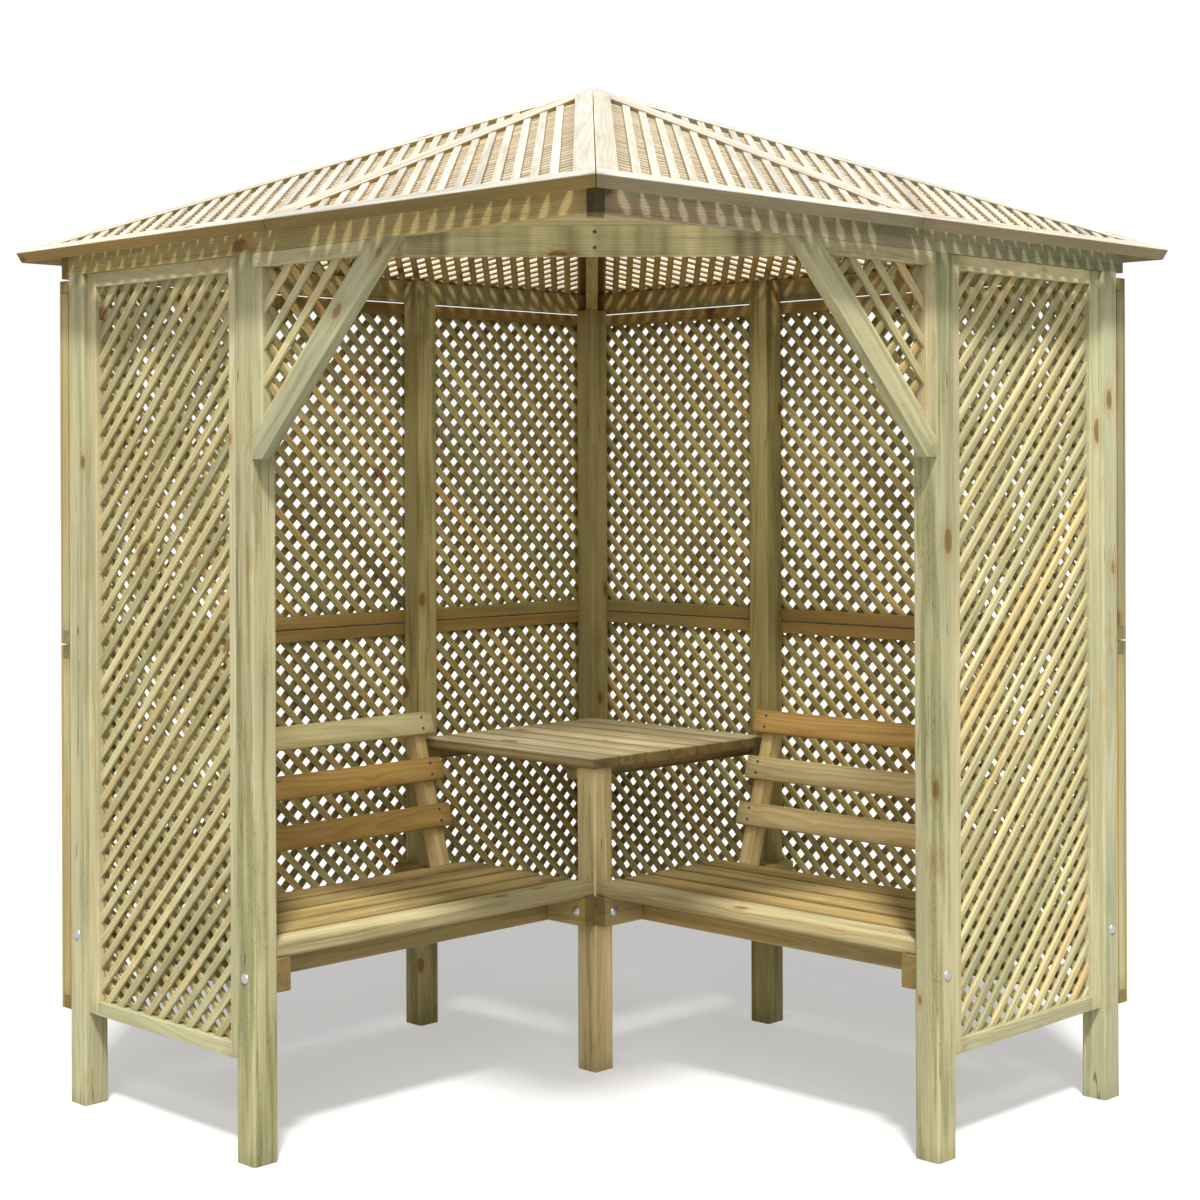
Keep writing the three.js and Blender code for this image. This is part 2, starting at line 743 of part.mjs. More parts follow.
function addBolts(side) {
  for (const [post, y] of Object.entries(boltPlaces)) {
    const mesh = addInBay(side, `${post}_post_coach_bolt`, '#9aa0a3', coachBolt(y));
    mesh.material.metalness = 1;
    mesh.material.roughness = 0.45;
  }
}

// Assembly

addPosts();
addBeams();
addRafters();
addHeader();
addRoof();
addTable();
addWallTrellis('left', [1, 1]);
addWallTrellis('right', [1, -1]);
addSideTrellis('left', [1, -1]);
addSideTrellis('right', [1, 1]);
for (const side of ['left', 'right']) {
  addBrace(side);
  addBracketTrellis(side);
  addSeat(side);
  addBearers(side);
  addBackrest(side);
  addBolts(side);
}

export default arbour;
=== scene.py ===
"""Looks of a corner arbour seat of pressure-treated softwood.

The packed model is the fixed frame. Posts, beams, rafters and bench timbers keep their solids and get a
finish. Trellis panels, roof panels, backrests, the table and the bolts are built again, member by member, so
that the grain runs along each slat, stile and board. Lengths are in metres and +Z is up.

Pieces of the left and right bays are drawn in a bay frame: x runs along the wall from the rear corner, y
runs out from the wall and z runs up. Flat assemblies are drawn lying in x and y, with z through their
thickness.
"""

import math
import random

import bmesh
import bpy
import numpy as np
from mathutils import Matrix, Vector


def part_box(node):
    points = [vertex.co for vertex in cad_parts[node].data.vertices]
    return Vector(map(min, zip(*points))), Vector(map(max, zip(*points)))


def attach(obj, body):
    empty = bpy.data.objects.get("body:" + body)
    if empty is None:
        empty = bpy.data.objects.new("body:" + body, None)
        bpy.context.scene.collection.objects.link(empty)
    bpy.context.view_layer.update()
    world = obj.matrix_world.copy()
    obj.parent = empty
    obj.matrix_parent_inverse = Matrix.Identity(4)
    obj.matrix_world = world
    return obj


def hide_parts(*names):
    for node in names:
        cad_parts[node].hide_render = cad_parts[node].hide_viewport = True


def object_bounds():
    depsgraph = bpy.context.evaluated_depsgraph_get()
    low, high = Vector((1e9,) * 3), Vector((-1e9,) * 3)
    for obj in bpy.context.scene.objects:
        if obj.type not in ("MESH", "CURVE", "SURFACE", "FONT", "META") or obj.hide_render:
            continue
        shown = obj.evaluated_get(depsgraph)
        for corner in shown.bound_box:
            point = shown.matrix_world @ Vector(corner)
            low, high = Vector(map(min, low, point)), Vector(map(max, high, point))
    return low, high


bl_info = {
    "name": "Arbour seat looks",
    "version": (1, 0, 0),
    "blender": (4, 5, 0),
    "location": "3D View > Sidebar > Arbour",
    "description": "Dresses the packed arbour seat in treated softwood and sets its stage",
    "category": "Object",
}

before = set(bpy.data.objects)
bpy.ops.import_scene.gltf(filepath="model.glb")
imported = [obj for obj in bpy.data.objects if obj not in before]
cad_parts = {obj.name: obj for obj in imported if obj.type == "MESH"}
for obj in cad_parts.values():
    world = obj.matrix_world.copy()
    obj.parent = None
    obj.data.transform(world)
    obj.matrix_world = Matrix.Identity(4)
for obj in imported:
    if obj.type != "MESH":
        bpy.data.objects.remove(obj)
cad_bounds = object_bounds()

SIDES = ("left", "right")
HALF_WALL = -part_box("rear_corner_post")[0].x
POST_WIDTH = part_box("rear_corner_post")[1].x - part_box("rear_corner_post")[0].x
ROOF_HALF = cad_bounds[1].x


# Sizes and colours that a user would change

def length(name, description, default):
    return bpy.props.FloatProperty(
        name=name, description=description, default=default, min=0.0, precision=4, unit="LENGTH"
    )


def share(name, description, default):
    return bpy.props.FloatProperty(
        name=name, description=description, default=default, min=0.0, max=10.0, subtype="FACTOR"
    )


def linear(code):
    """A colour written as on a screen, such as c9bf93, in linear light."""
    parts = [int(code[place:place + 2], 16) / 255 for place in (0, 2, 4)]
    return tuple(part / 12.92 if part <= 0.04045 else ((part + 0.055) / 1.055) ** 2.4 for part in parts)


def colour(name, description, code):
    return bpy.props.FloatVectorProperty(
        name=name, description=description, default=linear(code), size=3, min=0.0, max=1.0, subtype="COLOR"
    )


class ArbourTrellisSizes(bpy.types.PropertyGroup):
    """Slats and frames of the walls, sides and brackets."""

    slat_width: length("Slat width", "Width of every slat", 0.0178)
    slat_thickness: length("Slat thickness", "Thickness of every slat", 0.008)
    slat_pitch: length("Slat pitch", "Distance from slat to slat, across them", 0.040)
    slat_layer_gap: length("Layer gap", "Clearance between the two layers of slats", 0.0003)
    slat_ease: length("Slat ease", "Rounding of the slats' long edges", 0.0010)
    slat_embed: length("Embed", "How far the lattice's own outline reaches into its frame", 0.003)
    slat_end: length("End in frame", "How far the middle of a slat's end lies inside its frame", 0.011)
    unevenness: length("Unevenness", "How far slats stray from their even spacing", 0.0009)
    frame_ease: length("Frame ease", "Rounding of stiles and rails", 0.0018)
    wall_stile: length("Wall stile", "Width of the wall panels' stiles", 0.038)
    wall_rail: length("Wall rail", "Height of the wall panels' rails", 0.032)
    wall_lap: length("Wall lap", "Thickness of the stile that laps over the rails' ends", 0.010)
    side_stile: length("Side stile", "Width of the side panels' stiles", 0.038)
    side_rail: length("Side rail", "Height of the side panels' rails", 0.034)
    bracket_pitch: length("Bracket pitch", "Distance from slat to slat in the brackets", 0.059)
    bracket_stile: length("Bracket stile", "Width of the brackets' stiles", 0.037)
    bracket_rail: length("Bracket rail", "Height of the brackets' rails", 0.032)


class ArbourRoofSizes(bpy.types.PropertyGroup):
    """The eight roof panels."""

    apex_height: length("Peak", "Height of the roof's peak", 2.493)
    eave_height: length("Eave", "Height of the eaves' upper edge", 2.090)
    panel_thickness: length("Panel thickness", "Thickness of the roof panels' frames", 0.028)
    rail_width: length("Rail width", "Width of the roof panels' rails", 0.045)
    slat_shortfall: length("Slat shortfall", "Space past the upper slats' ends on the front faces", 0.008)
    slat_recess: length("Slat recess", "Depth of the top slats under the rails' upper faces", 0.003)
    panel_gap: length("Panel gap", "Gap between adjoining roof panels", 0.0015)
    rail_ease: length("Rail ease", "Rounding of the rails", 0.002)


class ArbourFurnitureSizes(bpy.types.PropertyGroup):
    """Backrests and table."""

    back_lean: bpy.props.FloatProperty(
        name="Lean", description="How far the backrests lean from upright",
        default=math.radians(16.8), subtype="ANGLE",
    )
    back_from_wall: length("Backrest from wall", "Distance of its face from the wall at the seat", 0.2526)
    back_board_height: length("Back board height", "Height of the backrest's boards", 0.062)
    back_board_thickness: length("Back board thickness", "Thickness of the backrest's boards", 0.020)
    back_board_pitch: length("Back board pitch", "Distance from board to board", 0.128)
    back_lowest_board: length("Lowest board", "Its middle above the seat, along the lean", 0.131)
    back_support_width: length("Support width", "Width of the backrest's supports", 0.038)
    back_support_depth: length("Support depth", "Depth of the backrest's supports", 0.045)
    back_support_drop: length("Support drop", "Length of the supports below the seat's top", 0.090)
    back_support_inset: length("Support inset", "Depth of their tops under the top board's edge", 0.006)
    back_overhang: length("Overhang", "How far the boards pass the bearers' inner faces", 0.019)
    table_board_thickness: length("Table board thickness", "Thickness of the table's boards", 0.026)
    table_from_wall: length("Table from wall", "Distance of the table's boards from the walls' line", 0.080)
    table_board_gap: length("Table board gap", "Gap between the table's boards", 0.004)
    table_bearer_width: length("Table bearer width", "Width of the table's bearers", 0.038)
    board_ease: length("Board ease", "Rounding of the boards' edges", 0.003)


class ArbourFastenerSizes(bpy.types.PropertyGroup):
    """Screws and coach bolts."""

    screw_head: length("Screw head", "Diameter of the screws' heads", 0.0085)
    bolt_head: length("Bolt head", "Diameter of the coach bolts' domed heads", 0.025)
    bolt_dome: length("Bolt dome", "Height of the coach bolts' domed heads", 0.006)
    washer: length("Washer", "Diameter of the washers", 0.024)
    nut: length("Nut", "Diameter of the nuts across their corners", 0.017)
    thread: length("Thread", "Diameter of the coach bolts' threads", 0.010)


class ArbourColours(bpy.types.PropertyGroup):
    """Colours of the finishes."""

    post: colour("Posts", "Planed posts", "b9b594")
    inner_post: colour("Inner posts", "Posts against the walls", "ab9d6a")
    front_rafter: colour("Front rafter", "Rafter over the way in, dark at its end", "6b5b3e")
    wall_beam: colour("Wall beams", "Beams along the walls", "a8905c")
    cream_backrest: colour("Cream backrests", "Right backrest's lower boards, all supports", "e4cc96")
    beam: colour("Beams", "Left front beam and three rafters", "bba772")
    leg: colour("Leg", "Leg under the table's corner", "e4cd9b")
    grey_beam: colour("Grey beam", "The right front beam, which has greyed", "a89a82")
    yellow_backrest: colour("Yellow backrests", "Right backrest's top board", "c19c5c")
    header: colour("Header", "Board and plate across the way in", "c9c096")
    # The wall panels' colours are darker than the same timber elsewhere: painted shade for the inside of the
    # arbour, deepest on the outer layer of slats
    wall_frame: colour("Wall frames", "Stiles and rails of the wall panels", "967b45")
    wall_slat: colour("Wall slats", "Inner layer of the wall panels' slats", "b5aa75")
    far_wall_slat: colour("Outer wall slats", "Outer layer of the wall panels' slats", "8b7a4e")
    side_frame: colour("Side frames", "Stiles and rails of the side panels", "c6bf9b")
    side_slat: colour("Side slats", "Outer layer of the side panels' slats", "beb790")
    # Darker than the outer layer: painted shade on the layer that lies further in
    shaded_far_side_slat: colour("Inner side slats", "Inner layer of the side panels' slats", "a0966a")
    roof: colour("Roof", "Rails and upper slats of the roof", "d7d2ca")
    roof_under: colour("Roof underside", "Lower slats of the roof", "d8cdbe")
    seat: colour("Seats", "Boards, bearers and rails of the benches", "ab9664")
    front_board: colour("Front boards", "Front board of each bench", "c0b893")
    pale_backrest: colour("Pale backrests", "Left backrest's top board", "dbcf9f")
    backrest: colour("Golden backrests", "Left backrest's lower boards", "c29f5c")
    table: colour("Table", "Boards and bearers of the table", "e6dab6")
    green: colour("Green tint", "Tint that the preservative leaves", "8b9570")
    knot: colour("Knots", "Heart of the knots", "5d3a22")
    steel: colour("Steel", "Galvanised steel", "b4b8ba")
    screw: colour("Screws", "Tarnished screw heads", "6b5a40")


class ArbourStage(bpy.types.PropertyGroup):
    """Camera and light."""

    camera_place: bpy.props.FloatVectorProperty(
        name="Camera", description="Place of the camera", default=(3.808, -3.838, 1.544), unit="LENGTH",
    )
    camera_turn: bpy.props.FloatProperty(
        name="Turn", description="Turn of the level line of sight from +Y", default=math.pi / 4 - 0.0067,
        subtype="ANGLE",
    )
    camera_roll: bpy.props.FloatProperty(
        name="Roll", description="Tilt of the picture", default=-0.0035, subtype="ANGLE",
    )
    lens: bpy.props.FloatProperty(name="Lens", description="Focal length in millimetres", default=65.74)
    shift: bpy.props.FloatProperty(name="Shift", description="Shift of the picture upward", default=-0.1063)
    world_strength: share("World light", "Strength of the even light from all around", 0.22)
    sun_strength: share("Sun light", "Strength of the light from above the camera", 4.2)
    fill_strength: share("Fill light", "Strength of the broad light from the front", 1.0)
    glow_power: bpy.props.FloatProperty(
        name="Glow", description="Power of the soft light that stands for the glow under the open roof",
        default=4.0, min=0.0, unit="POWER",
    )


GROUPS = {
    "arbour_trellis": ArbourTrellisSizes,
    "arbour_roof": ArbourRoofSizes,
    "arbour_furniture": ArbourFurnitureSizes,
    "arbour_fasteners": ArbourFastenerSizes,
    "arbour_colours": ArbourColours,
    "arbour_stage": ArbourStage,
}


# Node trees

class Wire:
    """A node's output, which can be added and multiplied as a number can."""

    def __init__(self, nodes, socket):
        self.nodes = nodes
        self.socket = socket

    def __add__(self, other):
        return self.nodes.math("ADD", self, other)

    def __sub__(self, other):
        return self.nodes.math("SUBTRACT", self, other)

    def __mul__(self, other):
        return self.nodes.math("MULTIPLY", self, other)

    def __truediv__(self, other):
        return self.nodes.math("DIVIDE", self, other)

    def __neg__(self):
        return self * -1.0

    def __abs__(self):
        return self.nodes.math("ABSOLUTE", self)


class Nodes:
    """Adds nodes to a tree, with their inputs set or linked as they are made."""

    def __init__(self, tree):
        self.tree = tree

    def add(self, kind, inputs=None, **settings):
        node = self.tree.nodes.new(kind)
        for name, value in settings.items():
            setattr(node, name, value)
        for key, value in (inputs or {}).items():
            self.feed(node.inputs[key], value)
        return node

    def wire(self, output, kind, inputs=None, **settings):
        """One output of a new node, by its name or its place."""
        return Wire(self, self.add(kind, inputs, **settings).outputs[output])

    def feed(self, socket, value):
        if isinstance(value, Wire):
            self.tree.links.new(value.socket, socket)
        else:
            socket.default_value = value

    def math(self, operation, *values):
        return self.wire(0, "ShaderNodeMath", dict(enumerate(values)), operation=operation)

    def vector(self, operation, *values):
        output = "Value" if operation in ("DOT_PRODUCT", "LENGTH") else "Vector"
        return self.wire(output, "ShaderNodeVectorMath", dict(enumerate(values)), operation=operation)

    def scaled(self, vector, factor):
        inputs = {"Vector": vector, "Scale": factor}
        return self.wire("Vector", "ShaderNodeVectorMath", inputs, operation="SCALE")

    def combine(self, x=0.0, y=0.0, z=0.0):
        return self.wire(0, "ShaderNodeCombineXYZ", {"X": x, "Y": y, "Z": z})

    def separate(self, vector):
        parts = self.add("ShaderNodeSeparateXYZ", {"Vector": vector}).outputs
        return [Wire(self, part) for part in parts]

    def ramp(self, value, start, end, low=0.0, high=1.0):
        """Goes smoothly from low to high as the value goes from start to end."""
        inputs = {"Value": value, "From Min": start, "From Max": end, "To Min": low, "To Max": high}
        return self.wire("Result", "ShaderNodeMapRange", inputs, interpolation_type="SMOOTHSTEP")

    def blend(self, factor, first, second, blend_type="MIX"):
        inputs = {0: factor, 6: first, 7: second}
        return self.wire(2, "ShaderNodeMix", inputs, data_type="RGBA", blend_type=blend_type)

    def multiplied(self, factor, base, tint):
        """The base tinted by a factor's share of the tint, given as three numbers or as a wire."""
        tint = (*tint, 1) if isinstance(tint, tuple) else tint
        return self.blend(factor, base, self.blend(1.0, base, tint, "MULTIPLY"))

    def attribute(self, name, kind="FLOAT_VECTOR"):
        return self.wire(0, "GeometryNodeInputNamedAttribute", {"Name": name}, data_type=kind)

    def store(self, geometry, name, value, kind="FLOAT_VECTOR"):
        inputs = {"Geometry": geometry, "Name": name, "Value": value}
        return self.wire(0, "GeometryNodeStoreNamedAttribute", inputs, data_type=kind, domain="POINT")

    def choose(self, flag, otherwise, chosen):
        return self.wire(0, "ShaderNodeMix", {0: flag, 2: otherwise, 3: chosen}, data_type="FLOAT")

    def noise(self, vector, stretch, detail=2.0, roughness=0.5, shift=None, output=0):
        """Noise whose features are one unit long once the vector is shifted and stretched."""
        moved = self.vector("ADD", vector, shift) if shift else vector
        inputs = {"Vector": self.vector("MULTIPLY", moved, stretch), "Scale": 1.0, "Detail": detail,
                  "Roughness": roughness}
        return self.wire(output, "ShaderNodeTexNoise", inputs)

    def random_vector(self, low, high, seed):
        inputs = {0: (low,) * 3, 1: (high,) * 3, "Seed": seed}
        return self.wire(0, "FunctionNodeRandomValue", inputs, data_type="FLOAT_VECTOR")

    def joined(self, *parts):
        join = self.add("GeometryNodeJoinGeometry")
        for part in parts:
            self.feed(join.inputs[0], part)
        return Wire(self, join.outputs[0])

    def dressed(self, geometry, material, selection=True):
        inputs = {"Geometry": geometry, "Selection": selection, "Material": material}
        return self.wire(0, "GeometryNodeSetMaterial", inputs)


def new_group(name, kind, inputs, outputs):
    """A node group with named sockets; an input is its name, its type and, where it has one, its default."""
    tree = bpy.data.node_groups.new(name, kind)
    for label, socket_type, *default in inputs:
        socket = tree.interface.new_socket(label, in_out="INPUT", socket_type="NodeSocket" + socket_type)
        if default:
            socket.default_value = default[0]
    for label, socket_type in outputs:
        tree.interface.new_socket(label, in_out="OUTPUT", socket_type="NodeSocket" + socket_type)
    nodes = Nodes(tree)
    given = {socket.name: Wire(nodes, socket) for socket in nodes.add("NodeGroupInput").outputs}
    return nodes, given, nodes.add("NodeGroupOutput")


def geometry_group(name, inputs, outputs=(("Geometry", "Geometry"),)):
    return new_group(name, "GeometryNodeTree", inputs, outputs)


def built_once(maker):
    """Builds a node group on its first use and hands out the same one afterwards."""
    def group():
        if maker.__name__ not in bpy.data.node_groups:
            maker(maker.__name__)
        return bpy.data.node_groups[maker.__name__]
    return group


# Geometry: timbers, slats, boards and fasteners

@built_once
def timber_bar(name):
    """A straight bar along x with eased long edges, which stores each point's place in the timber."""
    nodes, given, out = geometry_group(name, [
        ("Length", "Float", 1.0), ("Width", "Float"), ("Thickness", "Float"), ("Ease", "Float"),
    ])
    half = given["Length"] * 0.5
    ends = {"Start": nodes.combine(-half), "End": nodes.combine(half)}
    line = nodes.wire(0, "GeometryNodeCurvePrimitiveLine", ends)
    section = nodes.wire(0, "GeometryNodeCurvePrimitiveQuadrilateral",
                         {"Width": given["Width"], "Height": given["Thickness"]})
    eased = nodes.wire(0, "GeometryNodeFilletCurve", {"Curve": section, "Count": 2, "Radius": given["Ease"]},
                       mode="POLY")
    solid = {"Curve": line, "Profile Curve": eased, "Fill Caps": True}
    bar = nodes.wire(0, "GeometryNodeCurveToMesh", solid)
    nodes.feed(out.inputs[0], nodes.store(bar, "place", nodes.wire(0, "GeometryNodeInputPosition")))


def laid_timbers(nodes, given, place, rotation, reach, kept):
    """The given geometry and bars on points: each is as long as its reach, knows its half size and has a
    draw of its own."""
    points = nodes.wire(0, "GeometryNodePoints", {"Count": given["Count"], "Position": place})
    drawn = nodes.store(points, "draw", nodes.random_vector(0, 1, given["Seed"] + 1.0))
    reached = nodes.store(drawn, "reach", reach, "FLOAT")
    section = {name: given[name] for name in ("Width", "Thickness", "Ease")}
    bar = nodes.add("GeometryNodeGroup", node_tree=timber_bar())
    for name, value in section.items():
        nodes.feed(bar.inputs[name], value)
    instances = nodes.wire(0, "GeometryNodeInstanceOnPoints", {
        "Points": reached, "Selection": kept, "Instance": Wire(nodes, bar.outputs[0]),
        "Rotation": nodes.wire(0, "FunctionNodeEulerToRotation", {"Euler": rotation}),
        "Scale": nodes.combine(reach, 1.0, 1.0),
    })
    real = nodes.wire(0, "GeometryNodeRealizeInstances", {"Geometry": instances})
    own_reach = nodes.attribute("reach", "FLOAT")
    half_size = nodes.scaled(nodes.combine(own_reach, given["Width"], given["Thickness"]), 0.5)
    true_place = nodes.vector("MULTIPLY", nodes.attribute("place"), nodes.combine(own_reach, 1.0, 1.0))
    stored = nodes.store(nodes.store(real, "place", true_place), "half", half_size)
    plain = nodes.wire(0, "GeometryNodeRemoveAttribute", {"Geometry": stored, "Name": "reach"})
    return nodes.joined(given["Geometry"], nodes.dressed(plain, given["Material"]))


@built_once
def clip_to_edge(name):
    """Shortens a line to one side of an outline's edge, given as its outward normal and its reach."""
    nodes, given, out = geometry_group(name, [
        ("Point", "Vector"), ("Way", "Vector"), ("Edge", "Vector"), ("Low", "Float"), ("High", "Float"),
    ], [("Low", "Float"), ("High", "Float")])
    normal = nodes.vector("MULTIPLY", given["Edge"], (1, 1, 0))
    reach = nodes.separate(given["Edge"])[2]
    speed = nodes.vector("DOT_PRODUCT", normal, given["Way"])
    meeting = (reach - nodes.vector("DOT_PRODUCT", normal, given["Point"])) / speed
    parallel = 1e-4
    leaves = nodes.math("GREATER_THAN", speed, parallel)
    enters = nodes.math("LESS_THAN", speed, -parallel)
    low = nodes.choose(enters, given["Low"], nodes.math("MAXIMUM", given["Low"], meeting))
    high = nodes.choose(leaves, given["High"], nodes.math("MINIMUM", given["High"], meeting))
    nodes.feed(out.inputs["Low"], low)
    nodes.feed(out.inputs["High"], high)


def row_inputs(*own):
    """The inputs that all rows of timbers have, with the row's own ones."""
    floats = ("First", "Pitch", "Height", "Width", "Thickness", "Ease", "Unevenness", *own)
    return [("Geometry", "Geometry"), ("Count", "Int"), ("Seed", "Int"), ("Material", "Material"),
            *[(label, "Float") for label in floats]]


def row_places(nodes, given):
    """Each timber's even place in its row, and the random share by which it strays."""
    index = nodes.wire(0, "GeometryNodeInputIndex")
    stray = nodes.separate(nodes.random_vector(-1, 1, given["Seed"]))[0]
    return index * given["Pitch"] + given["First"], stray * given["Unevenness"]


@built_once
def slat_layer(name):
    """Adds one layer of parallel slats, each cut off where it meets the outline's edges."""
    edges = ("Edge 1", "Edge 2", "Edge 3", "Edge 4")
    nodes, given, out = geometry_group(name, [
        *row_inputs("Angle", "Shortest"), *[(edge, "Vector") for edge in edges],
    ])
    even, stray = row_places(nodes, given)
    cosine, sine = nodes.math("COSINE", given["Angle"]), nodes.math("SINE", given["Angle"])
    way = nodes.combine(cosine, sine)
    point = nodes.scaled(nodes.combine(-sine, cosine), even + stray)
    far = 10.0
    low, high = -far, far
    for edge in edges:
        clip = nodes.add("GeometryNodeGroup", node_tree=clip_to_edge())
        line = {"Point": point, "Way": way, "Edge": given[edge], "Low": low, "High": high}
        for socket, value in line.items():
            nodes.feed(clip.inputs[socket], value)
        low, high = Wire(nodes, clip.outputs["Low"]), Wire(nodes, clip.outputs["High"])
    reach = high - low
    flat = nodes.vector("ADD", point, nodes.scaled(way, (high + low) * 0.5))
    place = nodes.vector("ADD", flat, nodes.combine(z=given["Height"]))
    kept = nodes.math("GREATER_THAN", reach, given["Shortest"])
    turn = nodes.combine(z=given["Angle"])
    nodes.feed(out.inputs[0], laid_timbers(nodes, given, place, turn, reach, kept))


@built_once
def board_row(name):
    """Adds boards along x, side by side along y."""
    nodes, given, out = geometry_group(name, row_inputs("Middle", "Length"))
    across, stray = row_places(nodes, given)
    place = nodes.combine(given["Middle"] + stray, across, given["Height"])
    nodes.feed(out.inputs[0], laid_timbers(nodes, given, place, nodes.combine(), given["Length"], True))


def part_of_fastener(nodes, kind, inputs, shift, **scale):
    """One primitive of a fastener, moved along z."""
    inputs = {"Geometry": nodes.wire(0, kind, inputs), "Translation": nodes.combine(z=shift), **scale}
    return nodes.wire(0, "GeometryNodeTransform", inputs)


def stand_on_points(nodes, given, parts):
    """Copies of the joined parts on the given points, turned so that their z faces each point's way."""
    facing = {"Vector": nodes.attribute("facing")}
    turned = nodes.wire(0, "FunctionNodeAlignRotationToVector", facing, axis="Z")
    spin = nodes.separate(nodes.random_vector(0, math.tau, given["Seed"]))[0]
    own_turn = nodes.wire(0, "FunctionNodeEulerToRotation", {"Euler": nodes.combine(z=spin)})
    spun = nodes.wire(0, "FunctionNodeRotateRotation", {"Rotation": turned, "Rotate By": own_turn},
                      rotation_space="LOCAL")
    points = nodes.wire(0, "GeometryNodeMeshToPoints", {"Mesh": given["Geometry"]})
    instances = nodes.wire(0, "GeometryNodeInstanceOnPoints", {
        "Points": points, "Instance": nodes.joined(*parts), "Rotation": spun,
    })
    real = nodes.wire(0, "GeometryNodeRealizeInstances", {"Geometry": instances})
    return nodes.dressed(real, given["Material"])


@built_once
def screw_heads(name):
    """Countersunk screw heads with a cross recess on the given points."""
    nodes, given, out = geometry_group(name, [
        ("Geometry", "Geometry"), ("Diameter", "Float"), ("Seed", "Int"), ("Material", "Material"),
        ("Recess Material", "Material"),
    ])
    radius = given["Diameter"] * 0.5
    depth = given["Diameter"] * 0.12
    head = part_of_fastener(nodes, "GeometryNodeMeshCone", {
        "Vertices": 20, "Radius Top": radius * 0.9, "Radius Bottom": radius, "Depth": depth,
    }, 0.0)
    arm_length, arm_width, arm_height = 0.62, 0.15, 0.02
    arms = []
    for share_x, share_y in ((arm_length, arm_width), (arm_width, arm_length)):
        size = nodes.scaled(nodes.combine(share_x, share_y, arm_height), given["Diameter"])
        arms.append(part_of_fastener(nodes, "GeometryNodeMeshCube", {"Size": size}, depth))
    # The recess is a thin cross dressed in painted shade
    recess = nodes.store(nodes.joined(*arms), "recess", 1.0, "FLOAT")
    stood = stand_on_points(nodes, given, [head, recess])
    in_recess = nodes.math("GREATER_THAN", nodes.attribute("recess", "FLOAT"), 0.5)
    nodes.feed(out.inputs[0], nodes.dressed(stood, given["Recess Material"], in_recess))


@built_once
def coach_bolts(name):
    """Domed heads on the given points, each with its shank, washer and nut a grip's length behind it."""
    nodes, given, out = geometry_group(name, [
        ("Geometry", "Geometry"), ("Seed", "Int"), ("Material", "Material"),
        *[(label, "Float") for label in ("Head", "Dome", "Washer", "Nut", "Thread", "Grip")],
    ])
    head_radius, shank_radius, washer_radius, nut_radius = [
        given[label] * 0.5 for label in ("Head", "Thread", "Washer", "Nut")
    ]
    plate, nut_depth, past_nut = 0.002, 0.008, 0.004
    below = -given["Grip"]
    shank = given["Grip"] + (plate + nut_depth + past_nut)
    dome = part_of_fastener(nodes, "GeometryNodeMeshUVSphere", {
        "Segments": 32, "Rings": 12, "Radius": head_radius,
    }, 0.0, Scale=nodes.combine(1.0, 1.0, given["Dome"] / head_radius))
    rounds = (
        (16, shank_radius, shank, shank * -0.5),
        (28, washer_radius, plate, below - plate / 2),
        (6, nut_radius, nut_depth, below - (plate + nut_depth / 2)),
    )
    parts = [
        part_of_fastener(nodes, "GeometryNodeMeshCylinder",
                         {"Vertices": sides, "Radius": radius, "Depth": depth}, shift)
        for sides, radius, depth, shift in rounds
    ]
    nodes.feed(out.inputs[0], stand_on_points(nodes, given, [dome, *parts]))


class Members:
    """Straight timbers gathered into one mesh. Each point knows its place in its own timber, half that
    timber's size, and a random draw that the timber has to itself."""

    def __init__(self, seed):
        self.random = random.Random(seed)
        self.points = []
        self.faces = []
        self.place = []
        self.half = []
        self.draw = []

    def add(self, outline, low, high, along, ease, low_outline=None, turned=Matrix.Identity(3)):
        """A timber with a flat outline, drawn out from low to high and then turned. The grain runs along a
        direction in the outline's plane."""
        timber = bmesh.new()
        bottom = [timber.verts.new(turned @ Vector((x, y, low))) for x, y in low_outline or outline]
        top = [timber.verts.new(turned @ Vector((x, y, high))) for x, y in outline]
        timber.faces.new(list(reversed(bottom)))
        timber.faces.new(top)
        for place, corner in enumerate(bottom):
            following = (place + 1) % len(bottom)
            timber.faces.new((corner, bottom[following], top[following], top[place]))
        bmesh.ops.recalc_face_normals(timber, faces=timber.faces[:])
        bmesh.ops.bevel(timber, geom=timber.edges[:], offset=ease, segments=2, profile=0.5, affect="EDGES")
        way = Vector((along[0], along[1], 0)).normalized()
        ways = [turned @ way, turned @ Vector((-way.y, way.x, 0)), turned @ Vector((0, 0, 1))]
        rows = np.array([[vertex.co.dot(axis) for axis in ways] for vertex in timber.verts])
        middle = (rows.min(0) + rows.max(0)) / 2
        half = (rows.max(0) - rows.min(0)) / 2
        draw = [self.random.random() for _ in range(3)]
        first = len(self.points)
        timber.verts.index_update()
        self.points.extend(tuple(vertex.co) for vertex in timber.verts)
        self.faces.extend([first + vertex.index for vertex in face.verts] for face in timber.faces)
        self.place.extend((rows - middle).tolist())
        self.half.extend([half.tolist()] * len(rows))
        self.draw.extend([draw] * len(rows))
        timber.free()

    def mesh(self, name, material):
        mesh = bpy.data.meshes.new(name)
        mesh.from_pydata(self.points, [], self.faces)
        for label, rows in (("place", self.place), ("half", self.half), ("draw", self.draw)):
            attribute = mesh.attributes.new(label, "FLOAT_VECTOR", "POINT")
            attribute.data.foreach_set("vector", np.array(rows, np.float32).ravel())
        mesh.materials.append(material)
        return mesh


def rectangle(left, bottom, right, top):
    return [(left, bottom), (right, bottom), (right, top), (left, top)]


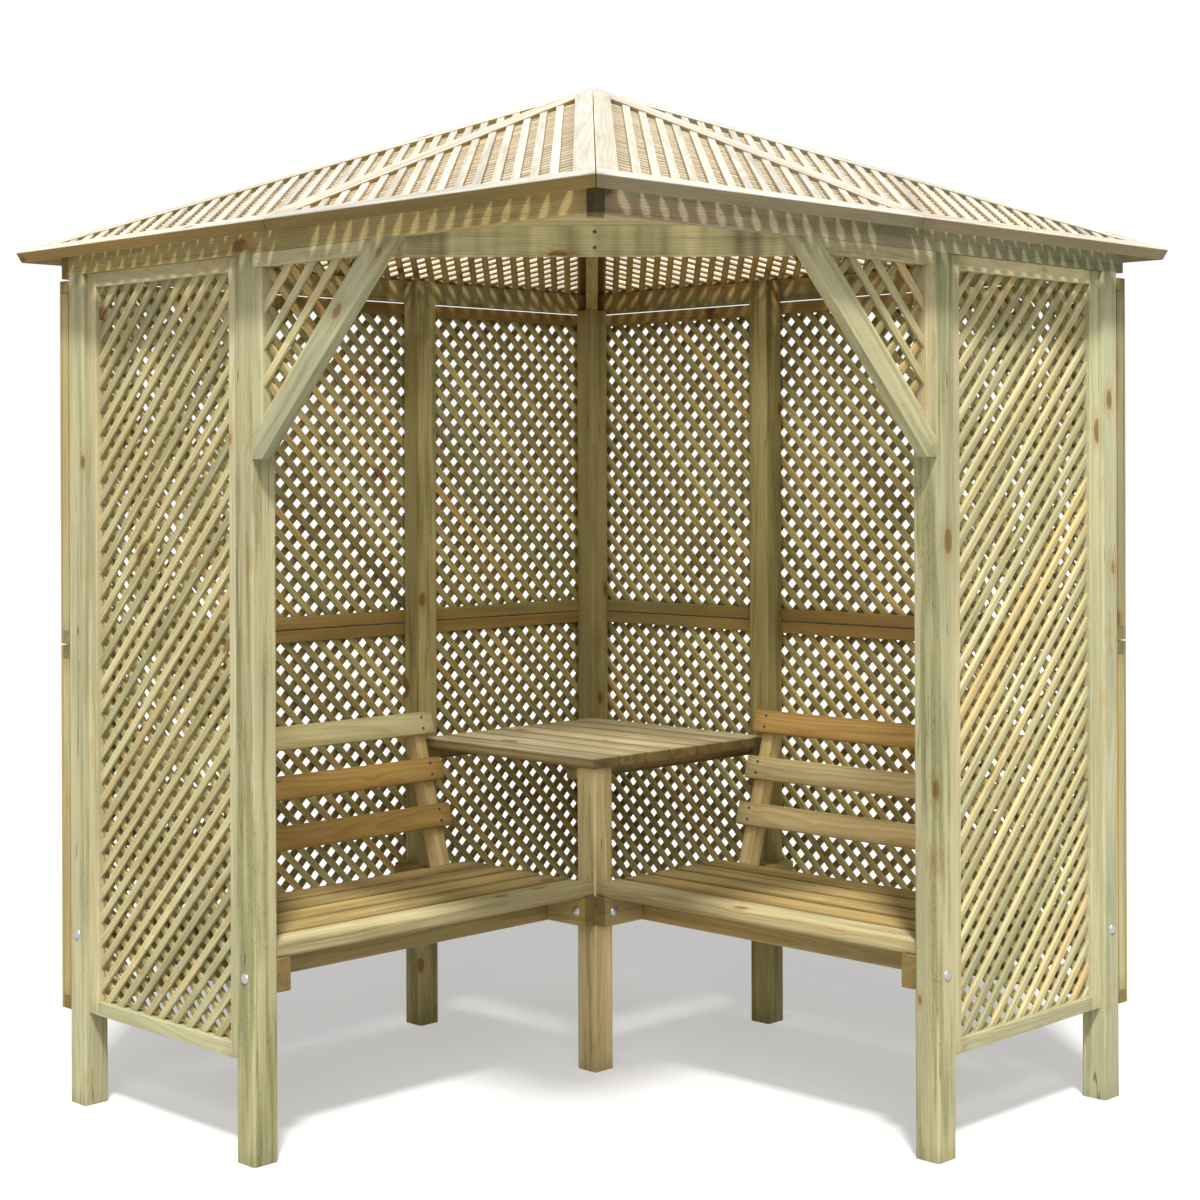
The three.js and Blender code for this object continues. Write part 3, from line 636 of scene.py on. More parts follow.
def modified_mesh(mesh, modifiers):
    """The mesh after geometry node groups with the named inputs, as a plain mesh."""
    carrier = bpy.data.objects.new("carrier", mesh)
    bpy.context.scene.collection.objects.link(carrier)
    for group, inputs in modifiers:
        modifier = carrier.modifiers.new(group.name, "NODES")
        modifier.node_group = group
        items = group.interface.items_tree
        sockets = {item.name: item.identifier for item in items if item.in_out == "INPUT"}
        for name, value in inputs.items():
            modifier[sockets[name]] = value
    evaluated = carrier.evaluated_get(bpy.context.evaluated_depsgraph_get())
    plain = bpy.data.meshes.new_from_object(evaluated)
    bpy.data.objects.remove(carrier)
    return plain


def settle(name, mesh, matrix, nodes):
    """Puts a finished mesh in its place as a piece that rides the arbour and stands for CAD nodes."""
    mesh.transform(matrix)
    if matrix.determinant() < 0:
        mesh.flip_normals()
    mesh.name = name
    piece = bpy.data.objects.new(name, mesh)
    bpy.context.scene.collection.objects.link(piece)
    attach(piece, "root")
    if nodes:
        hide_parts(*nodes)


def bay_matrix(side):
    if side == "left":
        return Matrix(((0, 1, 0, -HALF_WALL), (-1, 0, 0, HALF_WALL), (0, 0, 1, 0), (0, 0, 0, 1)))
    return Matrix(((1, 0, 0, -HALF_WALL), (0, -1, 0, HALF_WALL), (0, 0, 1, 0), (0, 0, 0, 1)))


def bay_box(node, side):
    """Lowest and highest corner of a CAD node in its bay's frame."""
    inverse = bay_matrix(side).inverted()
    corners = [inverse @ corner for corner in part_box(node)]
    low = Vector(min(corner[axis] for corner in corners) for axis in range(3))
    high = Vector(max(corner[axis] for corner in corners) for axis in range(3))
    return low, high


# Lattice

def edges_of(outline, grown):
    """An anticlockwise outline's edges, each as its outward normal and its reach, moved outward."""
    edges = []
    for first, second in zip(outline, [*outline[1:], outline[0]]):
        way = (Vector(second) - Vector(first)).normalized()
        edges.append((way.y, -way.x, way.y * first[0] - way.x * first[1] + grown))
    return edges


def edge_inputs(outline, grown):
    """The edges of an outline of three or four points; a triangle's last edge is given twice."""
    edges = edges_of(outline, grown)
    return {f"Edge {place + 1}": edges[min(place, len(edges) - 1)] for place in range(4)}


def grown_corners(outline, grown):
    edges = edges_of(outline, grown)
    corners = []
    for place, (nx, ny, reach) in enumerate(edges):
        last_x, last_y, last_reach = edges[place - 1]
        cross = last_x * ny - last_y * nx
        x = (last_reach * ny - reach * last_y) / cross
        y = (last_x * reach - nx * last_reach) / cross
        corners.append(Vector((x, y)))
    return corners


def slat_inputs(outline, direction, pitch, height, seed, material):
    """Inputs for one layer of slats, centred on the outline."""
    sizes = bpy.context.scene.arbour_trellis
    angle = math.atan2(direction[1], direction[0])
    across = Vector((-math.sin(angle), math.cos(angle)))
    spread = [corner.dot(across) for corner in grown_corners(outline, sizes.slat_embed)]
    middle = (min(spread) + max(spread)) / 2
    half_count = math.floor((max(spread) - min(spread)) / 2 / pitch)
    return {
        "Count": 2 * half_count + 1, "First": middle - half_count * pitch, "Pitch": pitch, "Angle": angle,
        "Height": height, "Width": sizes.slat_width, "Thickness": sizes.slat_thickness,
        "Ease": sizes.slat_ease, "Shortest": 2 * sizes.slat_end + sizes.slat_width,
        "Unevenness": sizes.unevenness, "Seed": seed,
        "Material": material, **edge_inputs(outline, sizes.slat_end),
    }


def crossed_slats(outline, directions, pitch, thickness, seed, materials):
    """Modifiers for two crossing layers, low and high, in the middle of a panel's thickness."""
    sizes = bpy.context.scene.arbour_trellis
    step = (sizes.slat_thickness + sizes.slat_layer_gap) / 2
    heights, seeds = (thickness / 2 - step, thickness / 2 + step), (seed, seed + 50)
    return [
        (slat_layer(), slat_inputs(outline, direction, pitch, height, own_seed, material))
        for direction, height, own_seed, material in zip(directions, heights, seeds, materials)
    ]


# Finishes

# What each mark multiplies into a timber's colour
WARM, COOL = (1.03, 0.99, 0.93), (0.97, 1.01, 1.05)
RUDDY = (0.98, 0.82, 0.72)
LATE_WOOD = (0.74, 0.60, 0.38)
PALE_FIBRE = (1.14, 1.12, 1.08)
STREAK = (0.52, 0.55, 0.43)
MOULD = (0.42, 0.46, 0.36)
ROUND_KNOT = (0.93, 0.70, 0.50)
KNOT_HEART = (0.62, 0.40, 0.24)
CRACK = (0.22, 0.17, 0.11)
DAMP = (0.62, 0.66, 0.56)
# Lighter edges: partly wear, partly a painted highlight on the rounded arrises
RUBBED_AND_HIGHLIT = (1.35, 1.33, 1.28)
# Painted shade, tinted tan, on the faces below a timber's top
SHADED_TAN_SIDE = (0.42, 0.32, 0.14)
# Painted light: outward faces lighter and greyer, lifted out of the painted shade in the wall colours
OUTER_FACE_LIGHT = (1.3, 1.75, 2.9)
# Painted shade along the edges, in the gaps between boards and slats
PAINTED_EDGE_SHADE = (0.48, 0.40, 0.24)
SOAKED = (0.42, 0.38, 0.26)

# Each mark's size or strength on a timber whose finish doesn't say so
PLAIN_LOOK = {
    "Ring Spacing": 0.0045, "Ring Strength": 0.5, "Pith Depth": 0.03, "Variation": 0.25, "Green": 0.4,
    "Streaks": 0.4, "Knots": 0.5, "End Soak": 0.35, "Cracks": 0.0, "Edge Wear": 0.0, "Grime": 0.0,
    "Ruddy": 0.0, "Skirt": 0.0, "Bands": 0.0, "Foot": 0.0, "Bleach": 0.0,
}


def knot_marks(nodes, given, spot):
    """Masks of the knots, of their rims and of the wood round them, and the noise that frays them."""
    cell = 0.085
    stretched = nodes.vector("MULTIPLY", spot, (0.5 / cell, 1 / cell, 1 / cell))
    cells = nodes.add("ShaderNodeTexVoronoi", {"Vector": stretched, "Scale": 1.0})
    luck = nodes.separate(Wire(nodes, cells.outputs["Color"]))
    frayed = nodes.noise(spot, (160, 300, 300), 1.0)
    distance = frayed * 0.004 + (Wire(nodes, cells.outputs["Distance"]) * cell - 0.002)
    nearness = distance / (luck[1] * 0.009 + 0.004)
    present = nodes.math("LESS_THAN", luck[0], given["Knots"])
    knot = present * nodes.ramp(nearness, 1.05, 0.75)
    rim = present * nodes.ramp(nearness, 1.5, 1.05) * nodes.ramp(nearness, 0.7, 1.0)
    around = present * nodes.ramp(nearness, 3.4, 0.9)
    return knot, rim, around, frayed


def late_wood(nodes, given, spot, draw, around_knot):
    """One in the dark part of each growth ring; the rings bend round the knots."""
    noise = nodes.noise(spot, (1.3, 1.0, 1.0), 1.0, output="Color")
    wander = nodes.vector("MULTIPLY", nodes.vector("SUBTRACT", noise, (0.5, 0.5, 0.5)), (0.0, 0.05, 0.05))
    pith = nodes.combine(0.0, draw[1] * 0.06 - 0.03, given["Pith Depth"] * (draw[2] + 0.4))
    from_pith = nodes.vector("ADD", nodes.vector("MULTIPLY", given["Place"], (0.0, 1.0, 1.0)), pith)
    radius = around_knot * 0.007 + nodes.vector("LENGTH", nodes.vector("ADD", from_pith, wander))
    uneven = nodes.noise(spot, (2.5, 22, 22), 1.0) * 1.6
    ring = nodes.math("FRACT", uneven + radius / given["Ring Spacing"])
    return nodes.ramp(ring, 0.25, 0.85) * nodes.ramp(ring, 1.0, 0.9)


def patches(nodes, given, spot, draw, tone):
    """A grey for each timber's own lightness, its soft patches and painted stripes of light and shade across
    it.
    """
    # Painted light: soft stripes of light and shade, as from the sun through the roof's slats
    bands = (nodes.noise(spot, (26, 2.0, 2.0), 1.0, shift=(5.0, 2.0, 9.0)) - 0.5) * given["Bands"]
    light = (draw[0] - 0.5) * given["Variation"] + ((tone - 0.5) * 1.1 + bands) + 1.0
    return nodes.combine(light, light, light)


def bare_wood(nodes, given, draw, grey, late, fibre):
    """The timber's own colour with its patches, rings and fibres."""
    base = nodes.blend(1.0, given["Colour"], grey, "MULTIPLY")
    base = nodes.blend(1.0, base, nodes.blend(draw[1], (*WARM, 1), (*COOL, 1)), "MULTIPLY")
    base = nodes.multiplied(nodes.ramp(draw[0], 0.86, 0.95) * given["Ruddy"], base, RUDDY)
    shade = nodes.blend(1.0, base, (*LATE_WOOD, 1), "MULTIPLY")
    base = nodes.blend(late * given["Ring Strength"], base, shade)
    base = nodes.blend(nodes.ramp(fibre, 0.5, 0.72, 0.0, 0.42), base, shade)
    return nodes.multiplied(nodes.ramp(fibre, 0.45, 0.25, 0.0, 0.5), base, PALE_FIBRE)


def greened_and_streaked(nodes, given, spot, draw, grey, moss, base):
    """The green that the preservative leaves, then rain streaks with specks of mould."""
    own_green = given["Green"] * nodes.ramp(draw[2], 0.35, 1.0, 0.35, 1.3)
    green = nodes.math("MINIMUM", nodes.ramp(moss, 0.42, 0.68) * own_green, 0.9)
    base = nodes.blend(green, base, nodes.blend(1.0, given["Green Colour"], grey, "MULTIPLY"))
    drip = nodes.noise(spot, (1.7, 36, 36), 3.0, 0.6, shift=(7.0, 4.0, 5.0))
    streak = nodes.math("MINIMUM", nodes.ramp(drip, 0.47, 0.64) * given["Streaks"], 0.9)
    base = nodes.multiplied(streak, base, STREAK)
    mould = nodes.noise(spot, (90, 260, 260), 3.0, 0.65, shift=(2.0, 6.0, 1.0))
    specks = nodes.ramp(mould, 0.56, 0.68) * nodes.ramp(drip, 0.44, 0.62)
    return nodes.multiplied(specks * given["Streaks"], base, MOULD)


def knotted(nodes, given, knot, rim, around, frayed, base):
    base = nodes.multiplied(around * 0.6, base, ROUND_KNOT)
    heart = nodes.blend(frayed, given["Knot Colour"], nodes.multiplied(1.0, base, KNOT_HEART))
    base = nodes.blend(knot * 0.85, base, heart)
    return nodes.blend(rim * 0.6, base, given["Knot Colour"])


def drying_cracks(nodes, given, spot):
    split = nodes.noise(spot, (1.3, 55, 55), 1.0, shift=(1.0, 8.0, 3.0))
    line = nodes.ramp(abs(split - 0.5), 0.012, 0.002)
    where = nodes.ramp(nodes.noise(spot, (2.2, 18, 18), 1.0), 0.56, 0.66)
    return line * where * given["Cracks"]


def weathered_and_worn(nodes, given, place, half, moss, tone, base):
    """A damp foot, edges that are partly rubbed and partly carry a painted highlight, painted shade tinted
    tan on the faces below the top, outward faces lifted out of painted shade, painted shade along the edges
    and soaked ends.
    """
    damp = nodes.ramp(half[0] + place[0], 0.95, 0.1) * nodes.ramp(moss, 0.3, 0.6, 0.5, 1.0)
    base = nodes.multiplied(damp * given["Foot"], base, DAMP)
    to_end, to_side_y, to_side_z = [half[axis] - abs(place[axis]) for axis in range(3)]
    to_edge = to_side_y + to_side_z
    # Edges lighter: partly wear, partly a painted highlight
    rubbed_and_highlit = nodes.ramp(to_edge, 0.0045, 0.0008) * nodes.ramp(tone, 0.3, 0.6, 0.4, 1.0)
    base = nodes.multiplied(rubbed_and_highlit * given["Edge Wear"], base, RUBBED_AND_HIGHLIT)
    # Painted shade: the faces below the top are darkened and tinted tan
    below_top = nodes.ramp(half[2] - place[2], 0.0012, 0.004)
    base = nodes.multiplied(below_top * given["Skirt"], base, given["Skirt Tint"])
    # Painted light: faces that look outward from the arbour are lifted lighter and greyer
    on_arbour = nodes.add("ShaderNodeTexCoord").outputs
    away = nodes.vector("MULTIPLY", Wire(nodes, on_arbour["Object"]), (1.0, 1.0, 0.0))
    outward = nodes.vector("DOT_PRODUCT", Wire(nodes, on_arbour["Normal"]), away)
    base = nodes.multiplied(nodes.ramp(outward, 0.80, 0.88) * given["Bleach"], base, OUTER_FACE_LIGHT)
    # Painted shade: darker near every long edge, where the gaps between boards and slats lie
    groove = nodes.ramp(to_edge, 0.013, 0.002) * nodes.ramp(tone, 0.3, 0.6, 0.6, 1.0)
    base = nodes.multiplied(groove * given["Grime"], base, PAINTED_EDGE_SHADE)
    end_face = nodes.ramp(to_end, 0.0006, 0.0002) * 0.8
    soaked = nodes.ramp(to_end, 0.05, 0.0) * nodes.ramp(tone, 0.3, 0.6, 0.3, 1.0) * given["End Soak"]
    return nodes.multiplied(nodes.math("MAXIMUM", end_face, soaked), base, SOAKED)


@built_once
def treated_timber(name):
    """Sawn softwood with the marks of growth, weather and use, and with painted light and shade: stripes of
    light, highlit edges, shade along the edges and below the top, and outward faces lifted out of shade.
    Place is in the timber's own frame with x along it, Half is half its size, and Draw is its three random
    numbers."""
    nodes, given, out = new_group(name, "ShaderNodeTree", [
        ("Place", "Vector"), ("Half", "Vector"), ("Draw", "Vector"), ("Colour", "Color"),
        ("Green Colour", "Color"), ("Knot Colour", "Color"), ("Skirt Tint", "Color", (*SHADED_TAN_SIDE, 1)),
        *[(label, "Float", strength) for label, strength in PLAIN_LOOK.items()],
    ], [("Color", "Color"), ("Roughness", "Float"), ("Height", "Float")])
    place, half, draw = [nodes.separate(given[label]) for label in ("Place", "Half", "Draw")]
    spot = nodes.vector("ADD", given["Place"], nodes.vector("MULTIPLY", given["Draw"], (9.1, 5.3, 7.7)))
    fibre = nodes.noise(spot, (14, 750, 750), 2.0, 0.6)
    tone = nodes.noise(spot, (1.1, 11, 11), 3.0, 0.55)
    moss = nodes.noise(spot, (0.9, 9, 9), 3.0, 0.6, shift=(3.0, 1.0, 2.0))
    knot, rim, around, frayed = knot_marks(nodes, given, spot)
    late = late_wood(nodes, given, spot, draw, around)
    grey = patches(nodes, given, spot, draw, tone)
    base = bare_wood(nodes, given, draw, grey, late, fibre)
    base = greened_and_streaked(nodes, given, spot, draw, grey, moss, base)
    base = knotted(nodes, given, knot, rim, around, frayed, base)
    crack = drying_cracks(nodes, given, spot)
    base = nodes.multiplied(crack, base, CRACK)
    nodes.feed(out.inputs["Color"], weathered_and_worn(nodes, given, place, half, moss, tone, base))
    nodes.feed(out.inputs["Roughness"], fibre * 0.25 + (knot * -0.15 + 0.55))
    nodes.feed(out.inputs["Height"], late * 0.5 + fibre * 0.6 + crack * -2.0 + knot * 0.4)


def new_material(name):
    material = bpy.data.materials.new(name)
    material.use_nodes = True
    material.node_tree.nodes.clear()
    return material, Nodes(material.node_tree)


def object_place(nodes):
    return nodes.wire("Object", "ShaderNodeTexCoord")


def principled(nodes, inputs):
    surface = nodes.wire(0, "ShaderNodeBsdfPrincipled", inputs)
    nodes.add("ShaderNodeOutputMaterial", {"Surface": surface})


def timber_shader(nodes, place, half, draw, base, look):
    """The shared part of every timber finish, from the timber's own frame to the surface."""
    colours = bpy.context.scene.arbour_colours
    group = nodes.add("ShaderNodeGroup", node_tree=treated_timber())
    given = {
        "Place": place, "Half": half, "Draw": draw, "Colour": (*base, 1),
        "Green Colour": (*colours.green, 1), "Knot Colour": (*colours.knot, 1),
        **{key.replace("_", " ").title(): value for key, value in look.items()},
    }
    for name, value in given.items():
        nodes.feed(group.inputs[name], value)
    colour, roughness, height = [Wire(nodes, output) for output in group.outputs]
    bump = nodes.wire(0, "ShaderNodeBump", {"Strength": 0.6, "Distance": 0.0008, "Height": height})
    principled(nodes, {
        "Base Color": colour, "Roughness": roughness, "Specular IOR Level": 0.3, "Normal": bump,
    })


def member_timber(name, base, **look):
    """A finish for built pieces, which reads each member's own frame from its points."""
    material, nodes = new_material(name)
    read = [nodes.wire("Vector", "ShaderNodeAttribute", attribute_name=label)
            for label in ("place", "half", "draw")]
    timber_shader(nodes, *read, base, look)
    return material


def solid_timber(node, base, along, seed, **look):
    """A finish for a CAD node that is one straight timber, with its grain along the given direction."""
    along = Vector(along).normalized()
    nearly_upright = 0.9
    upright = Vector((0, 0, 1)) if abs(along.z) < nearly_upright else Vector((0, 1, 0))
    across = upright.cross(along).normalized()
    turn = Matrix((along, across, along.cross(across)))
    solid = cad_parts[node].data
    rows = np.array([turn @ vertex.co for vertex in solid.vertices])
    middle = Vector(((rows.min(0) + rows.max(0)) / 2).tolist())
    half = (rows.max(0) - rows.min(0)) / 2
    material, nodes = new_material(node + "_timber")
    place = nodes.wire(0, "ShaderNodeMapping", {
        "Vector": object_place(nodes), "Location": -middle, "Rotation": turn.to_euler(),
    }, vector_type="POINT")
    draws = random.Random(seed)
    draw = nodes.combine(draws.random(), draws.random(), draws.random())
    timber_shader(nodes, place, nodes.combine(*half.tolist()), draw, base, look)
    solid.materials.clear()
    solid.materials.append(material)


def plain_metal(name, base):
    """Dull metal with a faint spangle and darker dirt."""
    material, nodes = new_material(name)
    spot = object_place(nodes)
    spangle = nodes.wire("Color", "ShaderNodeTexVoronoi", {"Vector": spot, "Scale": 420.0})
    dirt = nodes.noise(spot, (240, 240, 240), 3.0)
    tinted = nodes.blend(nodes.separate(spangle)[0] * 0.3, (*base, 1), (0.5, 0.52, 0.54, 1))
    tinted = nodes.blend(nodes.ramp(dirt, 0.5, 0.75, 0.0, 0.6), tinted, (0.12, 0.12, 0.11, 1))
    principled(nodes, {
        "Base Color": tinted, "Metallic": 0.85, "Roughness": nodes.ramp(dirt, 0.3, 0.7, 0.3, 0.55),
    })
    return material


def screw_recess():
    """Painted shade for a screw's cross recess, which is drawn as a thin dark cross over the head."""
    material, nodes = new_material("screw_recess")
    grime = nodes.noise(object_place(nodes), (700, 700, 700), 2.0)
    shade = nodes.blend(grime, (0.03, 0.028, 0.025, 1), (0.09, 0.08, 0.06, 1))
    principled(nodes, {"Base Color": shade, "Roughness": 0.7})
    return material


# Operators

# First seed of each group of pieces
SEEDS = {
    "posts": 0, "bolts": 5, "screws": 9, "braces": 40, "beams": 60, "walls": 100, "sides": 160,
    "brackets": 180, "bracket slats": 184, "roof": 200, "seats": 300, "bearers": 340,
    "back supports": 400, "back boards": 410, "table bearers": 430, "table boards": 441,
}


class ArbourOperator:
    """What the operators share."""

    bl_options = {"REGISTER", "UNDO"}

    def execute(self, context):
        self.build(context.scene)
        return {"FINISHED"}


class DressPosts(ArbourOperator, bpy.types.Operator):
    """Gives the posts, the table leg and the braces their finish"""

    bl_idname = "arbour.dress_posts"
    bl_label = "Posts and braces"

    def build(self, scene):
        colours = scene.arbour_colours
        planed = {
            "ring_spacing": 0.0065, "ring_strength": 0.32, "pith_depth": 0.02, "variation": 0.12,
            "green": 0.6, "streaks": 0.8, "knots": 0.6, "cracks": 0.8, "edge_wear": 0.35, "foot": 0.2,
        }
        sheltered = {**planed, "green": 0.35, "foot": 0.0}
        finishes = {
            "rear_corner_post": (colours.inner_post, {**sheltered, "streaks": 0.4}),
            "table_leg": (colours.leg, {**sheltered, "green": 0.2, "knots": 0.9}),
        }
        for side, wet_foot in (("left", 0.9), ("right", planed["foot"])):
            finishes[f"{side}_mid_post"] = (colours.inner_post, sheltered)
            finishes[f"{side}_corner_post"] = (colours.post, {**planed, "streaks": 0.4})
            finishes[f"{side}_front_post"] = (colours.post, {**planed, "foot": wet_foot})
        for seed, (node, (base, look)) in enumerate(finishes.items(), SEEDS["posts"]):
            solid_timber(node, base, (0, 0, 1), seed, **look)
        ways = (("left", (1, 0, 1)), ("right", (0, -1, 1)))
        for seed, (side, along) in enumerate(ways, SEEDS["braces"]):
            solid_timber(f"{side}_bracket_brace", colours.post, along, seed, ring_spacing=0.006,
                         ring_strength=0.3, pith_depth=0.06, variation=0.1, green=0.6, streaks=0.6,
                         knots=0.4, edge_wear=0.4)


class DressBeams(ArbourOperator, bpy.types.Operator):
    """Gives the beams, hip rafters, header and soffit their finish"""

    bl_idname = "arbour.dress_beams"
    bl_label = "Beams, rafters and header"

    def build(self, scene):
        colours = scene.arbour_colours
        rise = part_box("front_hip_rafter")
        slope = -(rise[1].z - rise[0].z) / (rise[1].x - rise[0].x)
        ways = {
            "left_front_beam": (1, 0, 0), "right_front_beam": (0, 1, 0),
            "left_wall_beam": (0, 1, 0), "right_wall_beam": (1, 0, 0),
            "front_hip_rafter": (1, -1, slope), "rear_hip_rafter": (-1, 1, slope),
            "right_hip_rafter": (1, 1, slope), "left_hip_rafter": (-1, -1, slope),
            "entrance_header": (1, 1, 0), "entrance_soffit": (1, 1, 0),
        }
        own = {
            "right_front_beam": colours.grey_beam, "front_hip_rafter": colours.front_rafter,
            "entrance_header": colours.header, "entrance_soffit": colours.header,
            "left_wall_beam": colours.wall_beam, "right_wall_beam": colours.wall_beam,
        }
        # The header and the wall beams get painted stripes of light and shade
        light_striped = {"entrance_header": 2.0, "left_wall_beam": 1.2, "right_wall_beam": 1.2}
        for seed, (node, along) in enumerate(ways.items(), SEEDS["beams"]):
            soaked = 1.0 if node.endswith("rafter") else 0.35
            solid_timber(node, own.get(node, colours.beam), along, seed, ring_spacing=0.006,
                         ring_strength=0.4, pith_depth=0.05, variation=0.15, green=0.55, streaks=0.5,
                         knots=0.35, cracks=0.3, edge_wear=0.3, end_soak=soaked, bands=light_striped.get(node, 0.0))


def settle_panel(name, node, members, timbers, lattice, stand):
    """Fills a frame's members with crossed slats and settles the panel in the bay of its CAD node."""
    frames, slats = timbers
    mesh = modified_mesh(members.mesh(node, frames), crossed_slats(*lattice, slats))
    settle(name, mesh, bay_matrix(node.split("_")[0]) @ Matrix(stand), [node])


class BuildWallTrellis(ArbourOperator, bpy.types.Operator):
    """Builds the two stacked trellis panels of each wall"""

    bl_idname = "arbour.build_wall_trellis"
    bl_label = "Wall trellis"

    def build(self, scene):
        sizes, colours = scene.arbour_trellis, scene.arbour_colours
        # The wall colours carry painted shade; the frames and the outer slats have it lifted off their
        # outward faces
        frames = member_timber("wall_trellis_frame", colours.wall_frame, ring_strength=0.45, pith_depth=0.06,
                               variation=0.35, green=0.35, streaks=0.35, knots=0.4, edge_wear=0.35,
                               bleach=1.0)
        slats = [
            member_timber(f"{layer}_wall_trellis_slat", base, ring_spacing=0.005, ring_strength=0.5,
                          pith_depth=0.08, variation=0.5, green=green, streaks=0.3, knots=0.25,
                          edge_wear=0.8, ruddy=0.8, bleach=bleach)
            for layer, base, green, bleach in (
                ("inner", colours.wall_slat, 0.35, 0.0), ("outer", colours.far_wall_slat, 0.15, 1.0),
            )
        ]
        for order, side in enumerate(SIDES):
            for level, row in enumerate(("lower", "upper")):
                node = f"{side}_wall_{row}_trellis"
                low, high = bay_box(node, side)
                width, height, thickness = high.x - low.x, high.z - low.z, high.y - low.y
                seed = SEEDS["walls"] + 20 * order + 10 * level
                members = wall_panel_frame(width, height, thickness, sizes, seed)
                opening = rectangle(sizes.wall_stile, sizes.wall_rail, width - sizes.wall_stile,
                                    height - sizes.wall_rail)
                ways = ((1, 1), (1, -1)) if side == "left" else ((1, -1), (1, 1))
                lattice = (opening, ways, sizes.slat_pitch, thickness, seed)
                stand = ((1, 0, 0, low.x), (0, 0, -1, high.y), (0, 1, 0, low.z), (0, 0, 0, 1))
                settle_panel(f"{side}_wall_{row}_panel", node, members, (frames, slats), lattice, stand)


def wall_panel_frame(width, height, thickness, sizes, seed):
    """Rails from end to end with halved ends, and stiles that lap over them on the outer face."""
    members = Members(seed)
    stile, rail, lap, ease = sizes.wall_stile, sizes.wall_rail, sizes.wall_lap, sizes.frame_ease
    inner = thickness - lap
    halved = [
        (0, 0), (width, 0), (width, inner), (width - stile, inner), (width - stile, thickness),
        (stile, thickness), (stile, inner), (0, inner),
    ]
    on_edge = Matrix(((1, 0, 0), (0, 0, 1), (0, -1, 0)))
    for bottom in (0, height - rail):
        outline = [(x, -z) for x, z in reversed(halved)]
        members.add(outline, bottom, bottom + rail, (1, 0), ease, turned=on_edge)
    for left in (0, width - stile):
        members.add(rectangle(left, rail, left + stile, height - rail), 0, inner, (0, 1), ease)
        members.add(rectangle(left, 0, left + stile, height), inner, thickness, (0, 1), ease)
    return members


def plain_panel_frame(width, height, thickness, stile, rail, ease, seed):
    """Stiles from top to bottom with rails between them."""
    members = Members(seed)
    for left in (0, width - stile):
        members.add(rectangle(left, 0, left + stile, height), 0, thickness, (0, 1), ease)
    for bottom in (0, height - rail):
        members.add(rectangle(stile, bottom, width - stile, bottom + rail), 0, thickness, (1, 0), ease)
    return members


class BuildSideTrellis(ArbourOperator, bpy.types.Operator):
    """Builds the tall trellis panel of each side"""

    bl_idname = "arbour.build_side_trellis"
    bl_label = "Side trellis"

    def build(self, scene):
        sizes, colours = scene.arbour_trellis, scene.arbour_colours
        frames = member_timber("side_trellis_frame", colours.side_frame, ring_strength=0.35, pith_depth=0.06,
                               variation=0.15, green=0.4, streaks=0.3, knots=0.4, edge_wear=0.35)
        # The inner layer's darker colour is painted shade
        slats = [
            member_timber(f"{layer}_side_trellis_slat", base, ring_spacing=0.005, ring_strength=0.4,
                          pith_depth=0.08, variation=0.35, green=0.35, streaks=0.3, knots=0.2, edge_wear=0.6,
                          ruddy=0.8)
            for layer, base in (("inner", colours.shaded_far_side_slat), ("outer", colours.side_slat))
        ]
        for order, side in enumerate(SIDES):
            node = f"{side}_side_trellis"
            low, high = bay_box(node, side)
            width, height, thickness = high.y - low.y, high.z - low.z, high.x - low.x
            seed = SEEDS["sides"] + 10 * order
            stile, rail = sizes.side_stile, sizes.side_rail
            members = plain_panel_frame(width, height, thickness, stile, rail, sizes.frame_ease, seed)
            opening = rectangle(stile, rail, width - stile, height - rail)
            ways = ((1, -1), (1, 1)) if side == "left" else ((1, 1), (1, -1))
            lattice = (opening, ways, sizes.slat_pitch, thickness, seed)
            stand = ((0, 0, 1, low.x), (1, 0, 0, low.y), (0, 1, 0, low.z), (0, 0, 0, 1))
            settle_panel(f"{side}_side_panel", node, members, (frames, slats), lattice, stand)


class BuildBrackets(ArbourOperator, bpy.types.Operator):
    """Builds the small trellis above each brace at the way in"""

    bl_idname = "arbour.build_brackets"
    bl_label = "Bracket trellis"

    def build(self, scene):
        sizes = scene.arbour_trellis
        frames = bpy.data.materials["side_trellis_frame"]
        slats = [bpy.data.materials[f"{layer}_side_trellis_slat"] for layer in ("inner", "outer")]
        for order, side in enumerate(SIDES):
            node = f"{side}_bracket_trellis"
            low, high = bay_box(node, side)
            post, top, thickness = low.y, high.z, high.x - low.x
            slant = high.y - low.y
            foot, inner = top - slant, (post + sizes.bracket_stile, top - sizes.bracket_rail)
            stile_edge, rail_edge = inner
            stile_foot = (stile_edge, foot + stile_edge - post)
            rail_end = (post + rail_edge - foot, rail_edge)
            members = Members(SEEDS["brackets"] + order)
            stile = [(post, foot), stile_foot, inner, (post, rail_edge)]
            rail = [(post, rail_edge), rail_end, (post + slant, top), (post, top)]
            members.add(stile, 0, thickness, (0, 1), sizes.frame_ease)
            members.add(rail, 0, thickness, (1, 0), sizes.frame_ease)
            lattice = ([stile_foot, rail_end, inner], ((1, -1), (1, 1)), sizes.bracket_pitch, thickness,
                       SEEDS["bracket slats"] + order)
            stand = ((0, 0, 1, low.x), (1, 0, 0, 0), (0, 1, 0, 0), (0, 0, 0, 1))
            settle_panel(f"{side}_bracket_panel", node, members, (frames, slats), lattice, stand)


